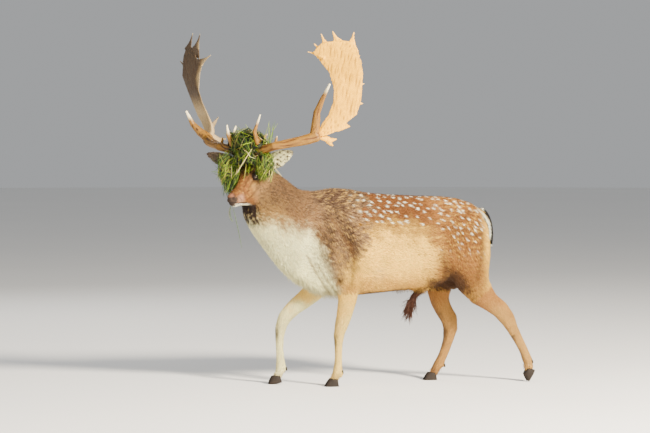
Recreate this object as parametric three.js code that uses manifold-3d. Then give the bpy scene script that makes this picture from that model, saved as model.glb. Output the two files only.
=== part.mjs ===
// A fallow deer buck at the walk, its head turned to its left: a life-size still museum model.
// Millimetres and degrees, +Z up. The body lies along X with the head at -X, so its left side is -Y.
// x is measured from above the withers and z from the floor, until the last lines centre the part.
import * as THREE from "three";
import { mergeVertices } from "three/addons/utils/BufferGeometryUtils.js";
import ManifoldModule from "manifold-3d";

const wasm = await ManifoldModule();
wasm.setup();

// ---------- Driving dimensions ----------
const GAP = 0.4; // clear space between two nodes that touch in life
const GRASS_GAP = 2; // and between the tangle of grass and what it hangs on
const NOSE = new THREE.Vector3(-530, -245, 859); // tip of the nose
const HEAD_YAW = 38; // turn of the head to its left
const HEAD_PITCH = 17; // fall of the nose below level
const EYE = { back: 156, left: 43, up: 60, radius: 16 }; // centre of the eyeball in head axes
const LEG_SPACE = { inner: 14, outwards: 70 }; // how much larger than a leg its place in the trunk is
const CLAW = { half: 33, height: 36, wide: 11, spread: 12.5 }; // one half of a cloven hoof
const DEWCLAW = { apart: 9, thick: 8, tip: 4, reach: 11, drop: 20 }; // the pair above each heel

const v = (x, y, z) => new THREE.Vector3(x, y, z);
const radians = THREE.MathUtils.degToRad;

// Head axes: `back` runs from the nose to the poll, `left` to the buck's left, `up` through the crown.
const pitch = radians(HEAD_PITCH);
const level = v(Math.cos(radians(HEAD_YAW)), Math.sin(radians(HEAD_YAW)), 0);
const HEAD_BACK = level.clone().multiplyScalar(Math.cos(pitch)).add(v(0, 0, Math.sin(pitch)));
const HEAD_UP = level.clone().multiplyScalar(-Math.sin(pitch)).add(v(0, 0, Math.cos(pitch)));
const HEAD_LEFT = new THREE.Vector3().crossVectors(HEAD_UP, HEAD_BACK).negate();

function inHead(back, left, up) {
  return HEAD_BACK.clone().multiplyScalar(back)
    .addScaledVector(HEAD_LEFT, left)
    .addScaledVector(HEAD_UP, up);
}

const headPoint = (back, left, up) => inHead(back, left, up).add(NOSE);

// ---------- Solids ----------
function solidOf(geometry) {
  const plain = geometry.clone();
  plain.deleteAttribute("normal");
  plain.deleteAttribute("uv");
  const merged = mergeVertices(plain, 1e-3);
  return new wasm.Manifold(new wasm.Mesh({
    numProp: 3,
    vertProperties: merged.attributes.position.array,
    triVerts: new Uint32Array(merged.index.array),
  }));
}

// Six times the volume inside a list of triangles: negative when they face inwards.
function signedVolume(points, faces) {
  let sum = 0;
  for (const [a, b, c] of faces) {
    sum += points[a].dot(new THREE.Vector3().crossVectors(points[b], points[c]));
  }
  return sum;
}

// The closed skin through a row of rings, with one point in the middle of each end.
function skinOver(rings) {
  const around = rings[0].length;
  const points = rings.flat();
  const faces = [];
  for (let row = 0; row < rings.length - 1; row += 1) {
    for (let k = 0; k < around; k += 1) {
      const a = row * around + k;
      const b = row * around + ((k + 1) % around);
      faces.push([a, b, a + around], [b, b + around, a + around]);
    }
  }
  for (const [ring, start] of [[rings[0], 0], [rings.at(-1), (rings.length - 1) * around]]) {
    const middle = ring.reduce((sum, p) => sum.add(p), v(0, 0, 0)).divideScalar(around);
    points.push(middle);
    for (let k = 0; k < around; k += 1) {
      const a = start + k;
      const b = start + ((k + 1) % around);
      faces.push(start === 0 ? [points.length - 1, b, a] : [a, b, points.length - 1]);
    }
  }
  const outwards = signedVolume(points, faces) > 0;
  const geometry = new THREE.BufferGeometry().setFromPoints(points);
  geometry.setIndex(faces.flatMap(([a, b, c]) => (outwards ? [a, b, c] : [a, c, b])));
  return solidOf(geometry);
}

// A station is one oval section: `centre`, and the vectors `up` and `side` to its edges. `egg` narrows
// the section towards `up`, `square` fills its corners and `cup` bends its edges towards `up`.
function station(centre, up, side, { egg = 0, square = 0, cup = 0 } = {}) {
  return { centre, up, side, form: v(egg, square, cup) };
}

function ringOf(centre, up, side, form, around) {
  const lift = up.clone().normalize();
  return Array.from({ length: around }, (_, k) => {
    const angle = (2 * Math.PI * k) / around;
    const across = Math.cos(angle);
    const along = Math.sin(angle);
    const corner = 1 + form.y * Math.abs(across * along);
    return centre.clone()
      .addScaledVector(side, across * corner * (1 - form.x * along))
      .addScaledVector(up, along * corner)
      .addScaledVector(lift, form.z * across * across);
  });
}

// A loft through stations, cut to the stretch from..to in steps of one station. `dome` rounds each end
// by that length, `grow` thickens the whole, and an end that is cut keeps half the gap free.
function loft(stations, { around = 12, steps = 1, from = 0, to, dome = [0, 0], grow = 0 } = {}) {
  const last = stations.length - 1;
  const end = to ?? last;
  const curveOf = (key) => new THREE.CatmullRomCurve3(stations.map((s) => s[key]));
  const [centre, up, side, form] = ["centre", "up", "side", "form"].map(curveOf);
  const run = (end - from) * steps;
  const count = Math.max(1, Math.round(run));
  const pace = centre.getPoint((from + 0.01) / last).distanceTo(centre.getPoint(from / last)) / 0.01;
  const paceEnd = centre.getPoint(end / last).distanceTo(centre.getPoint((end - 0.01) / last)) / 0.01;
  const start = from > 0 ? from + (GAP / 2 - grow) / pace : 0;
  const stop = end < last ? end - (GAP / 2 - grow) / paceEnd : last;
  const thick = (vector) => vector.setLength(vector.length() + grow);
  const at = (t, scale, shift) => {
    const u = THREE.MathUtils.clamp(t / last, 0, 1);
    const c = centre.getPoint(u).add(shift);
    const f = form.getPoint(u);
    const edge = side.getPoint(u);
    f.z *= scale * ((edge.length() + grow) / edge.length()) ** 2;
    const size = (vector) => thick(vector).multiplyScalar(scale);
    return ringOf(c, size(up.getPoint(u)), size(edge), f, around);
  };
  const away = [start, stop].map((t, which) => (
    centre.getTangent(THREE.MathUtils.clamp(t / last, 0.001, 0.999)).multiplyScalar(which ? 1 : -1)));
  const rings = Array.from({ length: count + 1 }, (_, i) => {
    const shift = v(0, 0, 0);
    if (i === 0) shift.addScaledVector(away[0], from > 0 ? 0 : grow);
    if (i === count) shift.addScaledVector(away[1], end < last ? 0 : grow);
    return at(start + ((stop - start) * i) / count, 1, shift);
  });
  dome.forEach((length, which) => {
    if (!length) return;
    for (const angle of [42, 75]) {
      const shift = away[which].clone().multiplyScalar(length * Math.sin(radians(angle)) + grow);
      const ring = at(which ? stop : start, Math.cos(radians(angle)), shift);
      if (which) rings.push(ring);
      else rings.unshift(ring);
    }
  });
  return skinOver(rings);
}

// A tapering horn, tail or limb piece: rows of [point, half depth, half width], with `lie` across it.
function taper(rows, lie, options = {}) {
  const points = rows.map(([point]) => point);
  const curve = new THREE.CatmullRomCurve3(points);
  const stations = rows.map(([point, deep, wide], i) => {
    const run = curve.getTangent(THREE.MathUtils.clamp(i / (rows.length - 1), 0.001, 0.999));
    const side = lie.clone().addScaledVector(run, -lie.dot(run)).normalize();
    const up = new THREE.Vector3().crossVectors(run, side);
    return station(point, up.multiplyScalar(deep), side.multiplyScalar(wide), options.form);
  });
  return loft(stations, options);
}

function ball(centre, radii, grow = 0) {
  const geometry = new THREE.SphereGeometry(1, 10, 7);
  geometry.scale(radii.x + grow, radii.y + grow, radii.z + grow);
  return solidOf(geometry.translate(centre.x, centre.y, centre.z));
}

const joined = (solids) => solids.reduce((all, solid) => all.add(solid));

// ---------- Nodes ----------
const colours = {
  coat: 0xa9744a, pale: 0xd9b48a, dark: 0x4a3526, antler: 0xb98a5e, hoof: 0x2b2622,
  eye: 0x1c1410, nose: 0x2a2423, grass: 0x6f8a35,
};
const materials = Object.fromEntries(Object.entries(colours).map(([name, color]) => [
  name,
  new THREE.MeshStandardMaterial({ name, color, roughness: name === "eye" ? 0.1 : 0.8 }),
]));
const buck = new THREE.Group();
const shapes = {}; // what is already placed, for the later nodes to stay clear of

// `shape(grow)` gives the node's solid. It is cut back from the earlier nodes that it lists.
function place(name, material, shape, clearOf = [], clear = GAP) {
  const solid = clearOf.reduce((left, other) => left.subtract(shapes[other](clear)), shape(0));
  shapes[name] = shape;
  const { numProp, vertProperties, triVerts } = solid.getMesh();
  const positions = new Float32Array((vertProperties.length / numProp) * 3);
  for (let i = 0; i < positions.length / 3; i += 1) {
    positions.set(vertProperties.subarray(i * numProp, i * numProp + 3), i * 3);
  }
  const geometry = new THREE.BufferGeometry();
  geometry.setAttribute("position", new THREE.BufferAttribute(positions, 3));
  geometry.setIndex(new THREE.BufferAttribute(new Uint32Array(triVerts), 1));
  geometry.computeVertexNormals();
  const mesh = new THREE.Mesh(geometry, materials[material]);
  mesh.name = name;
  buck.add(mesh);
}

// ---------- Head ----------
// Distance back from the nose, crown line, jaw line, half width, and how much wider the crown is.
const headRows = [
  [2, 10, -22, 15, 0], [12, 20, -34, 23, 0], [30, 27, -43, 27, 0], [55, 35, -49, 27, -0.05],
  [85, 48, -57, 29, -0.1], [115, 65, -68, 37, -0.18], [145, 84, -79, 48, -0.22],
  [172, 98, -86, 56, -0.18], [200, 106, -84, 58, -0.1], [228, 104, -70, 54, 0], [252, 88, -35, 44, 0],
];
const headStations = headRows.map(([back, crown, jaw, half, egg]) => station(
  headPoint(back, 0, (crown + jaw) / 2),
  inHead(0, 0, (crown - jaw) / 2),
  inHead(0, half, 0),
  { egg, square: 0.12 },
));
const sides = [["left", 1], ["right", -1]];

const muzzleToPoll = (grow) => loft(headStations, { around: 12, dome: [4, 16], grow });

function skull(grow) {
  const browRadii = v(24, 24, 22);
  const parts = [muzzleToPoll(grow)];
  for (const [, s] of sides) {
    parts.push(ball(headPoint(EYE.back + 4, s * (EYE.left - 9), EYE.up + 2), browRadii, grow));
    const stalk = [
      [headPoint(182, s * 34, 80), 24, 24], [headPoint(189, s * 37, 104), 20, 20],
      [headPoint(193, s * 38, 120), 19, 19],
    ];
    parts.push(taper(stalk, HEAD_LEFT, { around: 8, grow }));
  }
  return joined(parts);
}

function eyeball(s) {
  return (grow) => ball(
    headPoint(EYE.back, s * EYE.left, EYE.up),
    v(EYE.radius, EYE.radius, EYE.radius),
    grow,
  );
}

for (const [name, s] of sides) place("eye_" + name, "eye", eyeball(s));

// ---------- Antlers ----------
// Every point is [back, left, up] in head axes for the left antler, and the right one mirrors it. What the
// two hold differently is listed here: how far each spreads, leans out and droops at the end of its beam,
// its tines and its palm's crown.
const antlers = {
  left: {
    spread: 1,
    lean: 0,
    droop: 0,
    brow: [[194, 55, 156], [194, 62, 198], [183, 66, 262], [212, 94, 332]],
    browBranch: [[190, 64, 214], [214, 78, 216], [242, 88, 232]],
    rearTip: [486, 366, 192],
    trez: [[306, 300, 205], [315, 308, 245], [315, 330, 310], [317, 372, 370], [322, 425, 438]],
    crown: [
      [[420, 312, 520], [484, 500, 500], 7.5], [[410, 290, 562], [490, 487, 545], 7],
      [[424, 330, 596], [498, 468, 580], 6],
    ],
    points: [
      { root: [428, 345, 536], tip: [407, 267, 564], thick: 25 },
      { root: [430, 340, 545], tip: [419, 301, 598], thick: 32 },
      { root: [440, 358, 548], tip: [441, 334, 636], thick: 46 },
      { root: [464, 412, 552], tip: [466, 380, 640], thick: 62 },
      { root: [478, 450, 545], tip: [520, 456, 620], thick: 44 },
      { root: [462, 466, 392], tip: [476, 496, 394], thick: 26 },
      { root: [452, 446, 312], tip: [468, 477, 304], thick: 26 },
    ],
  },
  right: {
    spread: 1.05,
    lean: 0.07,
    droop: 14,
    brow: [[194, 57, 156], [189, 76, 190], [185, 84, 245], [200, 88, 288]],
    browBranch: [[187, 80, 200], [214, 84, 232], [241, 74, 271]],
    rearTip: [484, 362, 240],
    trez: [[306, 300, 192], [308, 340, 220], [304, 368, 260], [294, 378, 326]],
    crown: [
      [[424, 326, 504], [484, 490, 496], 7.5], [[452, 372, 540], [488, 478, 534], 7],
      [[472, 396, 574], [490, 456, 566], 6],
    ],
    points: [
      { root: [438, 362, 508], tip: [400, 248, 560], thick: 28 },
      { root: [466, 392, 545], tip: [441, 312, 652], thick: 44 },
      { root: [480, 440, 556], tip: [493, 396, 642], thick: 40 },
      { root: [470, 458, 478], tip: [500, 516, 508], thick: 30 },
    ],
  },
};

const BEAM_LEVEL = 200; // height of the beams above the nose
const BEAM_REACH = 308; // and how far out they end

function antlerPoint(name, [back, left, up]) {
  const { spread, lean } = antlers[name];
  const out = left * spread + Math.max(0, up - BEAM_LEVEL) * lean;
  return headPoint(back, name === "left" ? out : -out, up);
}

// A tine through points, from radius `thick` at its root to `thin` at its tip.
function tine(name, points, thick, { thin = 3, flat = 1, grow = 0, around = 8, lie = HEAD_LEFT } = {}) {
  const rows = points.map((point, i) => {
    const radius = THREE.MathUtils.lerp(thick, thin, (i / (points.length - 1)) ** 1.5);
    return [antlerPoint(name, point), radius * flat, radius];
  });
  return taper(rows, lie, { around, grow });
}

function beam(name) {
  const burr = [[193, 38, 123.5, 24], [194, 39, 128, 31], [195, 41, 135, 29], [196, 47, 146, 21]];
  const shaft = [
    [194, 66, 163, 19], [191, 100, 178, 19], [193, 153, 190, 19], [222, 195, 192, 20], [252, 238, 193, 22],
    [283, 280, 196, 24], [311, BEAM_REACH, 202, 26],
  ];
  const sunk = (l) => antlers[name].droop * (l / BEAM_REACH) ** 2;
  const rows = [...burr, ...shaft].map(([b, l, u, r]) => [antlerPoint(name, [b, l, u - sunk(l)]), r, r]);
  const spur = [[200, 146, 190], [216, 150, 206], [231, 150, 226]];
  return (grow) => joined([
    taper(rows, HEAD_BACK, { around: 10, dome: [0, 16], grow }),
    tine(name, spur, 10, { grow, around: 6 }),
  ]);
}

// The palm's blade: rows of [inner edge], [outer edge], half thickness, from its foot upwards. Each
// antler's own crown ends it.
const bladeRows = [
  [[318, 282, 200], [352, 335, 196], 20], [[352, 295, 222], [396, 372, 204], 17],
  [[366, 306, 245], [424, 408, 234], 13], [[388, 332, 278], [450, 446, 260], 10],
  [[404, 360, 335], [466, 472, 318], 8.5], [[412, 370, 390], [470, 486, 372], 8],
  [[424, 352, 460], [478, 503, 446], 7.5],
];
// Tines at the back of the palm's foot. The uppermost has its own tip on each antler.
const rearTines = [
  { points: [[386, 368, 222], [440, 372, 210]], thick: 25, flat: 0.45 },
  { points: [[335, 312, 196], [392, 314, 156], [441, 313, 147]], thick: 19, flat: 0.7 },
  { points: [[376, 311, 160], [400, 307, 138], [419, 303, 122]], thick: 13, flat: 0.7 },
];

// A point of the palm: broad at its root, and hollow along both edges as it rises.
const POINT = { thin: 2.5, deep: 4.5, deepTip: 2, hollow: 1.8 };

function palmPoint(name, { root, tip, thick }, lie, grow) {
  const rows = [0, 0.36, 0.68, 1].map((t) => {
    const place = root.map((value, i) => THREE.MathUtils.lerp(value, tip[i], t));
    const wide = POINT.thin + (thick - POINT.thin) * (1 - t) ** POINT.hollow;
    return [antlerPoint(name, place), THREE.MathUtils.lerp(POINT.deep, POINT.deepTip, t), wide];
  });
  return taper(rows, lie, { around: 5, grow });
}

function palm(name) {
  const rows = [...bladeRows, ...antlers[name].crown].map(([inner, outer, thick]) => ({
    inner: antlerPoint(name, inner),
    outer: antlerPoint(name, outer),
    thick,
  }));
  const stations = rows.map(({ inner, outer, thick }) => {
    const half = outer.clone().sub(inner).multiplyScalar(0.5);
    const face = new THREE.Vector3().crossVectors(half, HEAD_UP).setLength(thick);
    if (name === "right") face.negate();
    return station(inner.clone().add(half), face, half, { cup: thick * 0.6 });
  });
  const across = rows.at(-1).outer.clone().sub(rows.at(-1).inner).normalize();
  return (grow) => {
    const blade = loft(stations, { around: 8, dome: [0, 8], grow });
    const points = antlers[name].points.map((point) => palmPoint(name, point, across, grow));
    const rear = rearTines.map(({ points: path, thick, flat }, i) => tine(
      name,
      i ? path : [...path, antlers[name].rearTip],
      thick,
      { flat, grow, around: 6, lie: HEAD_BACK },
    ));
    return joined([blade, ...points, ...rear]);
  };
}

function browTine(name) {
  const { brow, browBranch } = antlers[name];
  return (grow) => joined([
    tine(name, brow, 16, { grow }),
    tine(name, browBranch, 11, { grow, around: 6 }),
  ]);
}

const trezTine = (name) => (grow) => tine(name, antlers[name].trez, 23, { thin: 4.5, grow });

for (const [name] of sides) {
  const id = (piece) => "antler_" + name + "_" + piece;
  place(id("beam"), "antler", beam(name));
  place(id("brow_tine"), "antler", browTine(name), [id("beam")]);
  place(id("trez_tine"), "antler", trezTine(name), [id("beam")]);
  place(id("palm"), "antler", palm(name), [id("beam"), id("trez_tine")]);
}

// ---------- Ears ----------
// Root, middle and tip in head axes, and the way the ear's hollow faces.
const ears = {
  left: { root: [212, 44, 88], middle: [232, 125, 118], tip: [249, 208, 147], faces: [-1, 0.25, 0.1] },
  right: { root: [212, -44, 88], middle: [182, -122, 126], tip: [146, -202, 170], faces: [-0.95, -0.1, 0.1] },
};

function ear(name) {
  const { root, middle, tip, faces } = ears[name];
  const path = new THREE.CatmullRomCurve3([root, middle, tip].map((p) => headPoint(...p)));
  // How far along, half width, half thickness and depth of the hollow.
  const rows = [
    [0, 20, 17, 0], [0.14, 22, 13, 3], [0.28, 31, 8, 10], [0.45, 40, 5, 15], [0.62, 40, 4, 14],
    [0.8, 31, 3.5, 9], [0.93, 18, 3, 4], [1, 7, 2.5, 0],
  ];
  const stations = rows.map(([t, wide, thick, cup]) => {
    const run = path.getTangent(t);
    const face = inHead(...faces);
    const side = new THREE.Vector3().crossVectors(run, face).setLength(wide);
    const up = new THREE.Vector3().crossVectors(side, run).setLength(thick);
    return station(path.getPoint(t), up, side, { cup });
  });
  return (grow) => loft(stations, { around: 10, dome: [0, 3], grow });
}

for (const [name] of sides) place("ear_" + name, "coat", ear(name), ["antler_" + name + "_beam"]);

// ---------- Muzzle pad and skull ----------
function nosePad(grow) {
  return ball(headPoint(-2, 0, 2), v(26, 26, 24), grow).intersect(muzzleToPoll(grow));
}

place("nose", "nose", nosePad);
place("head", "coat", skull, [
  "eye_left", "eye_right", "ear_left", "ear_right", "nose", "antler_left_beam", "antler_right_beam",
]);

// ---------- Neck ----------
// Crest point, throat point, half width and the turn of the section to the left.
const neckRows = [
  [headPoint(214, 0, 78), headPoint(150, 0, -58), 46, 38],
  [headPoint(248, 0, 84), v(-424, -162, 783), 66, 36],
  [v(-282, -72, 988), v(-386, -106, 705), 82, 22], [v(-212, -38, 946), v(-322, -58, 624), 97, 12],
  [v(-146, -12, 902), v(-226, -20, 514), 113, 5], [v(-62, 0, 890), v(-132, 0, 448), 124, 0],
  [v(20, 0, 860), v(-40, 0, 440), 116, 0],
];
const neckStations = neckRows.map(([crest, throat, half, turn]) => station(
  crest.clone().add(throat).multiplyScalar(0.5),
  crest.clone().sub(throat).multiplyScalar(0.5),
  v(half * Math.sin(radians(turn)), -half * Math.cos(radians(turn)), 0),
  { egg: 0.16, square: 0.06 },
));
const NECK_CUTS = { middle: 2.5, base: 4.3 };
const neckPiece = (from, to) => (grow) => loft(neckStations, { around: 14, steps: 2, from, to, grow });

place("neck_upper", "coat", neckPiece(0, NECK_CUTS.middle), ["head", "ear_left", "ear_right"]);
place("neck_lower", "coat", neckPiece(NECK_CUTS.middle, NECK_CUTS.base), ["neck_upper"]);

// ---------- Hooves ----------
// Where each foot stands: the middle of its sole, and how far its toe is tipped down.
const feet = {
  fore_left: { x: -14, y: -95, tip: 0 },
  fore_right: { x: -236, y: 85, tip: 9 },
  hind_left: { x: 944, y: -100, tip: 62 },
  hind_right: { x: 512, y: 90, tip: 0 },
};
const FLOOR = solidOf(new THREE.BoxGeometry(3000, 1500, 400).translate(0, 0, -200));

function hoof({ x, y, tip }) {
  const { half, height, wide, spread } = CLAW;
  const stand = new THREE.Matrix4().makeRotationY(-radians(tip));
  const toe = v(-half - 4, 0, 0).applyMatrix4(stand);
  stand.setPosition(x, y, -toe.z - (tip ? 2.5 : 0));
  const upright = (vector) => vector.clone().transformDirection(stand).multiplyScalar(vector.length());
  const claws = (grow) => joined([-1, 1].map((s) => {
    const rows = [
      [v(-4, s * spread, 0), half, wide], [v(-1, s * spread, 0.4 * height), half - 6, wide],
      [v(3, s * (spread - 2), 0.8 * height), half - 12, wide + 1], [v(5, s * 8, height), half - 15, wide],
    ];
    return loft(rows.map(([centre, long, side]) => station(
      centre.clone().applyMatrix4(stand),
      upright(v(-long, 0, centre.z > 0 ? long * 0.1 : 0)),
      upright(v(0, side, 0)),
      { egg: 0.3, square: 0.1 },
    )), { around: 10, grow });
  }));
  return (grow) => (grow ? claws(grow) : claws(0).subtract(FLOOR));
}

for (const [name, foot] of Object.entries(feet)) place("hoof_" + name, "hoof", hoof(foot));

// ---------- Legs ----------
// Rows down each leg: x, distance from the middle plane, z, half depth and half width.
const legs = {
  fore_left: [
    [12, 56, 815, 50, 22], [-8, 78, 730, 92, 44], [-30, 88, 640, 116, 52], [-8, 90, 560, 106, 50],
    [42, 92, 490, 78, 42], [62, 94, 440, 57, 34], [57, 95, 400, 48, 30], [48, 95, 352, 42, 27],
    [36, 95, 302, 37, 25], [21, 95, 257, 32, 24], [14, 95, 214, 23, 18], [15, 95, 170, 19, 16],
    [14, 95, 128, 18, 15], [13, 95, 96, 20, 17], [10, 95, 70, 23, 20], [2, 95, 48, 20, 20],
    [-6, 95, 32, 21, 22],
  ],
  fore_right: [
    [12, 56, 815, 50, 22], [-12, 78, 730, 92, 44], [-45, 86, 640, 112, 52], [-46, 88, 560, 102, 50],
    [-28, 88, 490, 76, 42], [-44, 87, 438, 57, 34], [-84, 86, 400, 47, 30], [-136, 85, 362, 42, 27],
    [-180, 85, 325, 37, 25], [-205, 85, 285, 33, 24], [-216, 85, 243, 25, 18], [-218, 85, 195, 20, 16],
    [-217, 85, 145, 19, 15], [-213, 85, 105, 21, 17], [-212, 85, 80, 24, 20], [-217, 85, 58, 20, 20],
    [-226, 85, 40, 21, 22],
  ],
  hind_left: [
    [600, 56, 785, 86, 30], [628, 76, 705, 124, 52], [632, 84, 620, 126, 60], [640, 87, 530, 115, 60],
    [668, 91, 450, 83, 47], [716, 95, 395, 57, 35], [766, 98, 355, 43, 28], [809, 100, 322, 47, 25],
    [842, 100, 262, 31, 20], [874, 100, 205, 25, 17], [904, 100, 150, 22, 16], [918, 100, 114, 25, 20],
    [929, 100, 82, 21, 19], [935, 100, 58, 21, 21],
  ],
  hind_right: [
    [600, 56, 785, 86, 30], [612, 76, 705, 122, 52], [602, 84, 620, 124, 60], [576, 87, 530, 110, 58],
    [556, 89, 462, 79, 47], [551, 90, 405, 55, 36], [562, 90, 350, 46, 29], [591, 90, 304, 43, 26],
    [610, 90, 267, 45, 24], [603, 90, 208, 29, 19], [588, 90, 155, 25, 17], [569, 90, 108, 23, 17],
    [553, 90, 78, 25, 20], [538, 90, 54, 21, 20], [526, 90, 36, 21, 22],
  ],
};
// Each leg is cut below its elbow or stifle and below its knee or hock.
const legPieces = {
  fore: { names: ["shoulder", "forearm", "cannon"], cuts: [5.2, 9.6] },
  hind: { names: ["thigh", "gaskin", "cannon"], cuts: [4.6, 8.5] },
};

const legRow = (s, [x, y, z, deep, wide]) => [v(x, s * y, z), deep, wide];
const legSide = (leg) => (leg.endsWith("left") ? -1 : 1);
const legKind = (leg) => legPieces[leg.slice(0, 4)];
const legNames = (index) => Object.keys(legs).map((leg) => legKind(leg).names[index] + "_" + leg);

// The two dewclaws stand out behind the fetlock, which is the third row from a leg's end.
function dewclaws(leg, grow) {
  const { apart, thick, tip, reach, drop } = DEWCLAW;
  const [x, y, z, deep] = legs[leg].at(-3);
  return [-apart, apart].map((aside) => {
    const root = v(x + deep - thick, legSide(leg) * y + aside, z);
    const rows = [[0, thick], [0.5, thick - 1], [1, tip]].map(([t, radius]) => [
      root.clone().add(v(reach * t, 0, -drop * t)), radius, radius,
    ]);
    return taper(rows, v(0, 1, 0), { around: 6, grow });
  });
}

// The stretch of a leg between two of its cuts, counted from the top.
function legPiece(leg, index) {
  const { cuts } = legKind(leg);
  const rows = legs[leg].map((row) => legRow(legSide(leg), row));
  const range = { from: index ? cuts[index - 1] : 0, to: cuts[index] };
  return (grow) => joined([
    taper(rows, v(0, 1, 0), { around: 10, grow, ...range }),
    ...(index === 2 ? dewclaws(leg, grow) : []),
  ]);
}

// The space that a shoulder or thigh takes out of the trunk: the leg's outline, run on to the outside.
function upperLegSpace(leg) {
  const { inner, outwards } = LEG_SPACE;
  const rows = legs[leg].map(([x, y, z, deep, wide]) => legRow(
    legSide(leg),
    [x, y + outwards, z, deep + inner, wide + outwards + inner],
  ));
  return (grow) => taper(rows, v(0, 1, 0), { around: 8, grow, to: legKind(leg).cuts[0] });
}

for (const leg of Object.keys(legs)) {
  const { names } = legKind(leg);
  place(names[2] + "_" + leg, "pale", legPiece(leg, 2), ["hoof_" + leg]);
  place(names[1] + "_" + leg, "pale", legPiece(leg, 1));
}

// ---------- Tail and trunk ----------
const tailRows = [
  [v(722, 0, 806), 16, 22], [v(752, 0, 776), 16, 27], [v(771, 0, 730), 13, 30], [v(777, 0, 680), 11, 28],
  [v(776, 0, 640), 8, 18],
];
const tail = (grow) => taper(tailRows, v(0, 1, 0), { around: 10, dome: [0, 10], grow });
place("tail", "dark", tail);

// Distance behind the withers, back line, belly line, half width, and how much narrower the back is.
const trunkRows = [
  [-172, 780, 498, 84, 0.1], [-136, 862, 452, 106, 0.18], [-84, 893, 424, 118, 0.24],
  [0, 908, 404, 124, 0.26], [80, 904, 402, 138, 0.22], [180, 884, 411, 154, 0.16],
  [305, 875, 422, 161, 0.12], [425, 869, 430, 153, 0.08], [530, 866, 450, 136, 0.04],
  [610, 856, 486, 124, 0], [680, 832, 536, 112, 0], [722, 800, 580, 94, 0], [750, 762, 612, 70, 0],
];
const trunkStations = trunkRows.map(([x, back, belly, half, egg]) => station(
  v(x, 0, (back + belly) / 2),
  v(0, 0, (back - belly) / 2),
  v(0, half, 0),
  { egg, square: 0.1 },
));

// The sheath with its hanging brush of hair.
const sheathRows = [
  [v(470, 0, 446), 18, 18], [v(430, 0, 424), 17, 17], [v(398, 0, 398), 15, 14],
  [v(388, 0, 368), 13, 11], [v(390, 0, 340), 6, 5],
];
const sheath = (grow) => taper(sheathRows, v(0, 1, 0), { around: 8, dome: [0, 4], grow });
place("sheath", "dark", sheath);

// Trunk and base of the neck. Each shoulder or thigh takes its place out of it and fills that again.
function barrel(grow) {
  return joined([
    loft(trunkStations, { around: 16, dome: [20, 12], grow }),
    neckPiece(NECK_CUTS.base, undefined)(grow),
    ball(v(590, 0, 462), v(46, 34, 40), grow),
  ]);
}

for (const leg of Object.keys(legs)) {
  const { names } = legKind(leg);
  const upperLeg = (grow) => barrel(grow).add(legPiece(leg, 0)(grow)).intersect(upperLegSpace(leg)(grow));
  place(names[0] + "_" + leg, "coat", upperLeg, ["tail", names[1] + "_" + leg]);
}
const trunkAlone = (grow) => Object.keys(legs).reduce(
  (left, leg) => left.subtract(upperLegSpace(leg)(GAP)),
  barrel(grow),
);
place("trunk", "coat", trunkAlone, ["tail", "sheath", "neck_lower", ...legNames(1)]);

// ---------- Grass caught on the forehead and antlers ----------
// Lumps of the tangle in head axes: centre and radii.
const grassLumps = [
  [[214, -8, 184], [57, 120, 88]], [[160, -4, 132], [44, 66, 50]],
  [[132, -90, 90], [46, 42, 90]], [[186, 92, 104], [42, 48, 66]],
];

// How far a lump swells or shrinks in one direction, so that it isn't a plain ball.
const ripple = (way) => 1 + 0.07 * Math.sin(6 * way.x + 2) * Math.cos(5 * way.y - 4 * way.z);

function grass(grow) {
  const axes = new THREE.Matrix4().makeBasis(HEAD_LEFT, HEAD_BACK, HEAD_UP);
  return joined(grassLumps.map(([centre, [back, left, up]]) => {
    const geometry = new THREE.SphereGeometry(1, 8, 6);
    const { position } = geometry.attributes;
    for (let i = 0; i < position.count; i += 1) {
      const way = new THREE.Vector3().fromBufferAttribute(position, i);
      position.setXYZ(i, ...way.multiplyScalar(ripple(way)).toArray());
    }
    geometry.scale(left + grow, back + grow, up + grow);
    return solidOf(geometry.applyMatrix4(axes.clone().setPosition(headPoint(...centre))));
  }));
}

place("grass_tangle", "grass", grass, [
  "head", "eye_left", "eye_right", "ear_left", "ear_right",
  ...sides.flatMap(([name]) => ["beam", "brow_tine"].map((piece) => "antler_" + name + "_" + piece)),
], GRASS_GAP);

// ---------- The part's own frame: the floor's middle under the whole ----------
const box = new THREE.Box3().setFromObject(buck);
const middle = box.getCenter(v(0, 0, 0));
for (const mesh of buck.children) mesh.geometry.translate(-middle.x, -middle.y, -box.min.z);

export default buck;
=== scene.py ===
# %% [markdown]
# # A fallow deer buck, dressed over its solids
# The solids of a life-size fallow deer are loaded first and stay the measure of everything: each new
# piece rides on them and lies inside their outline. One skin replaces the solids of flesh, and tufts of
# hair lie over it. The antlers, hooves, eyes and the grass on the head are pieces of their own.

# %% Load the solids
import math

import bmesh
import bpy
import numpy as np
from mathutils import Matrix, Vector
from mathutils.bvhtree import BVHTree


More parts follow.
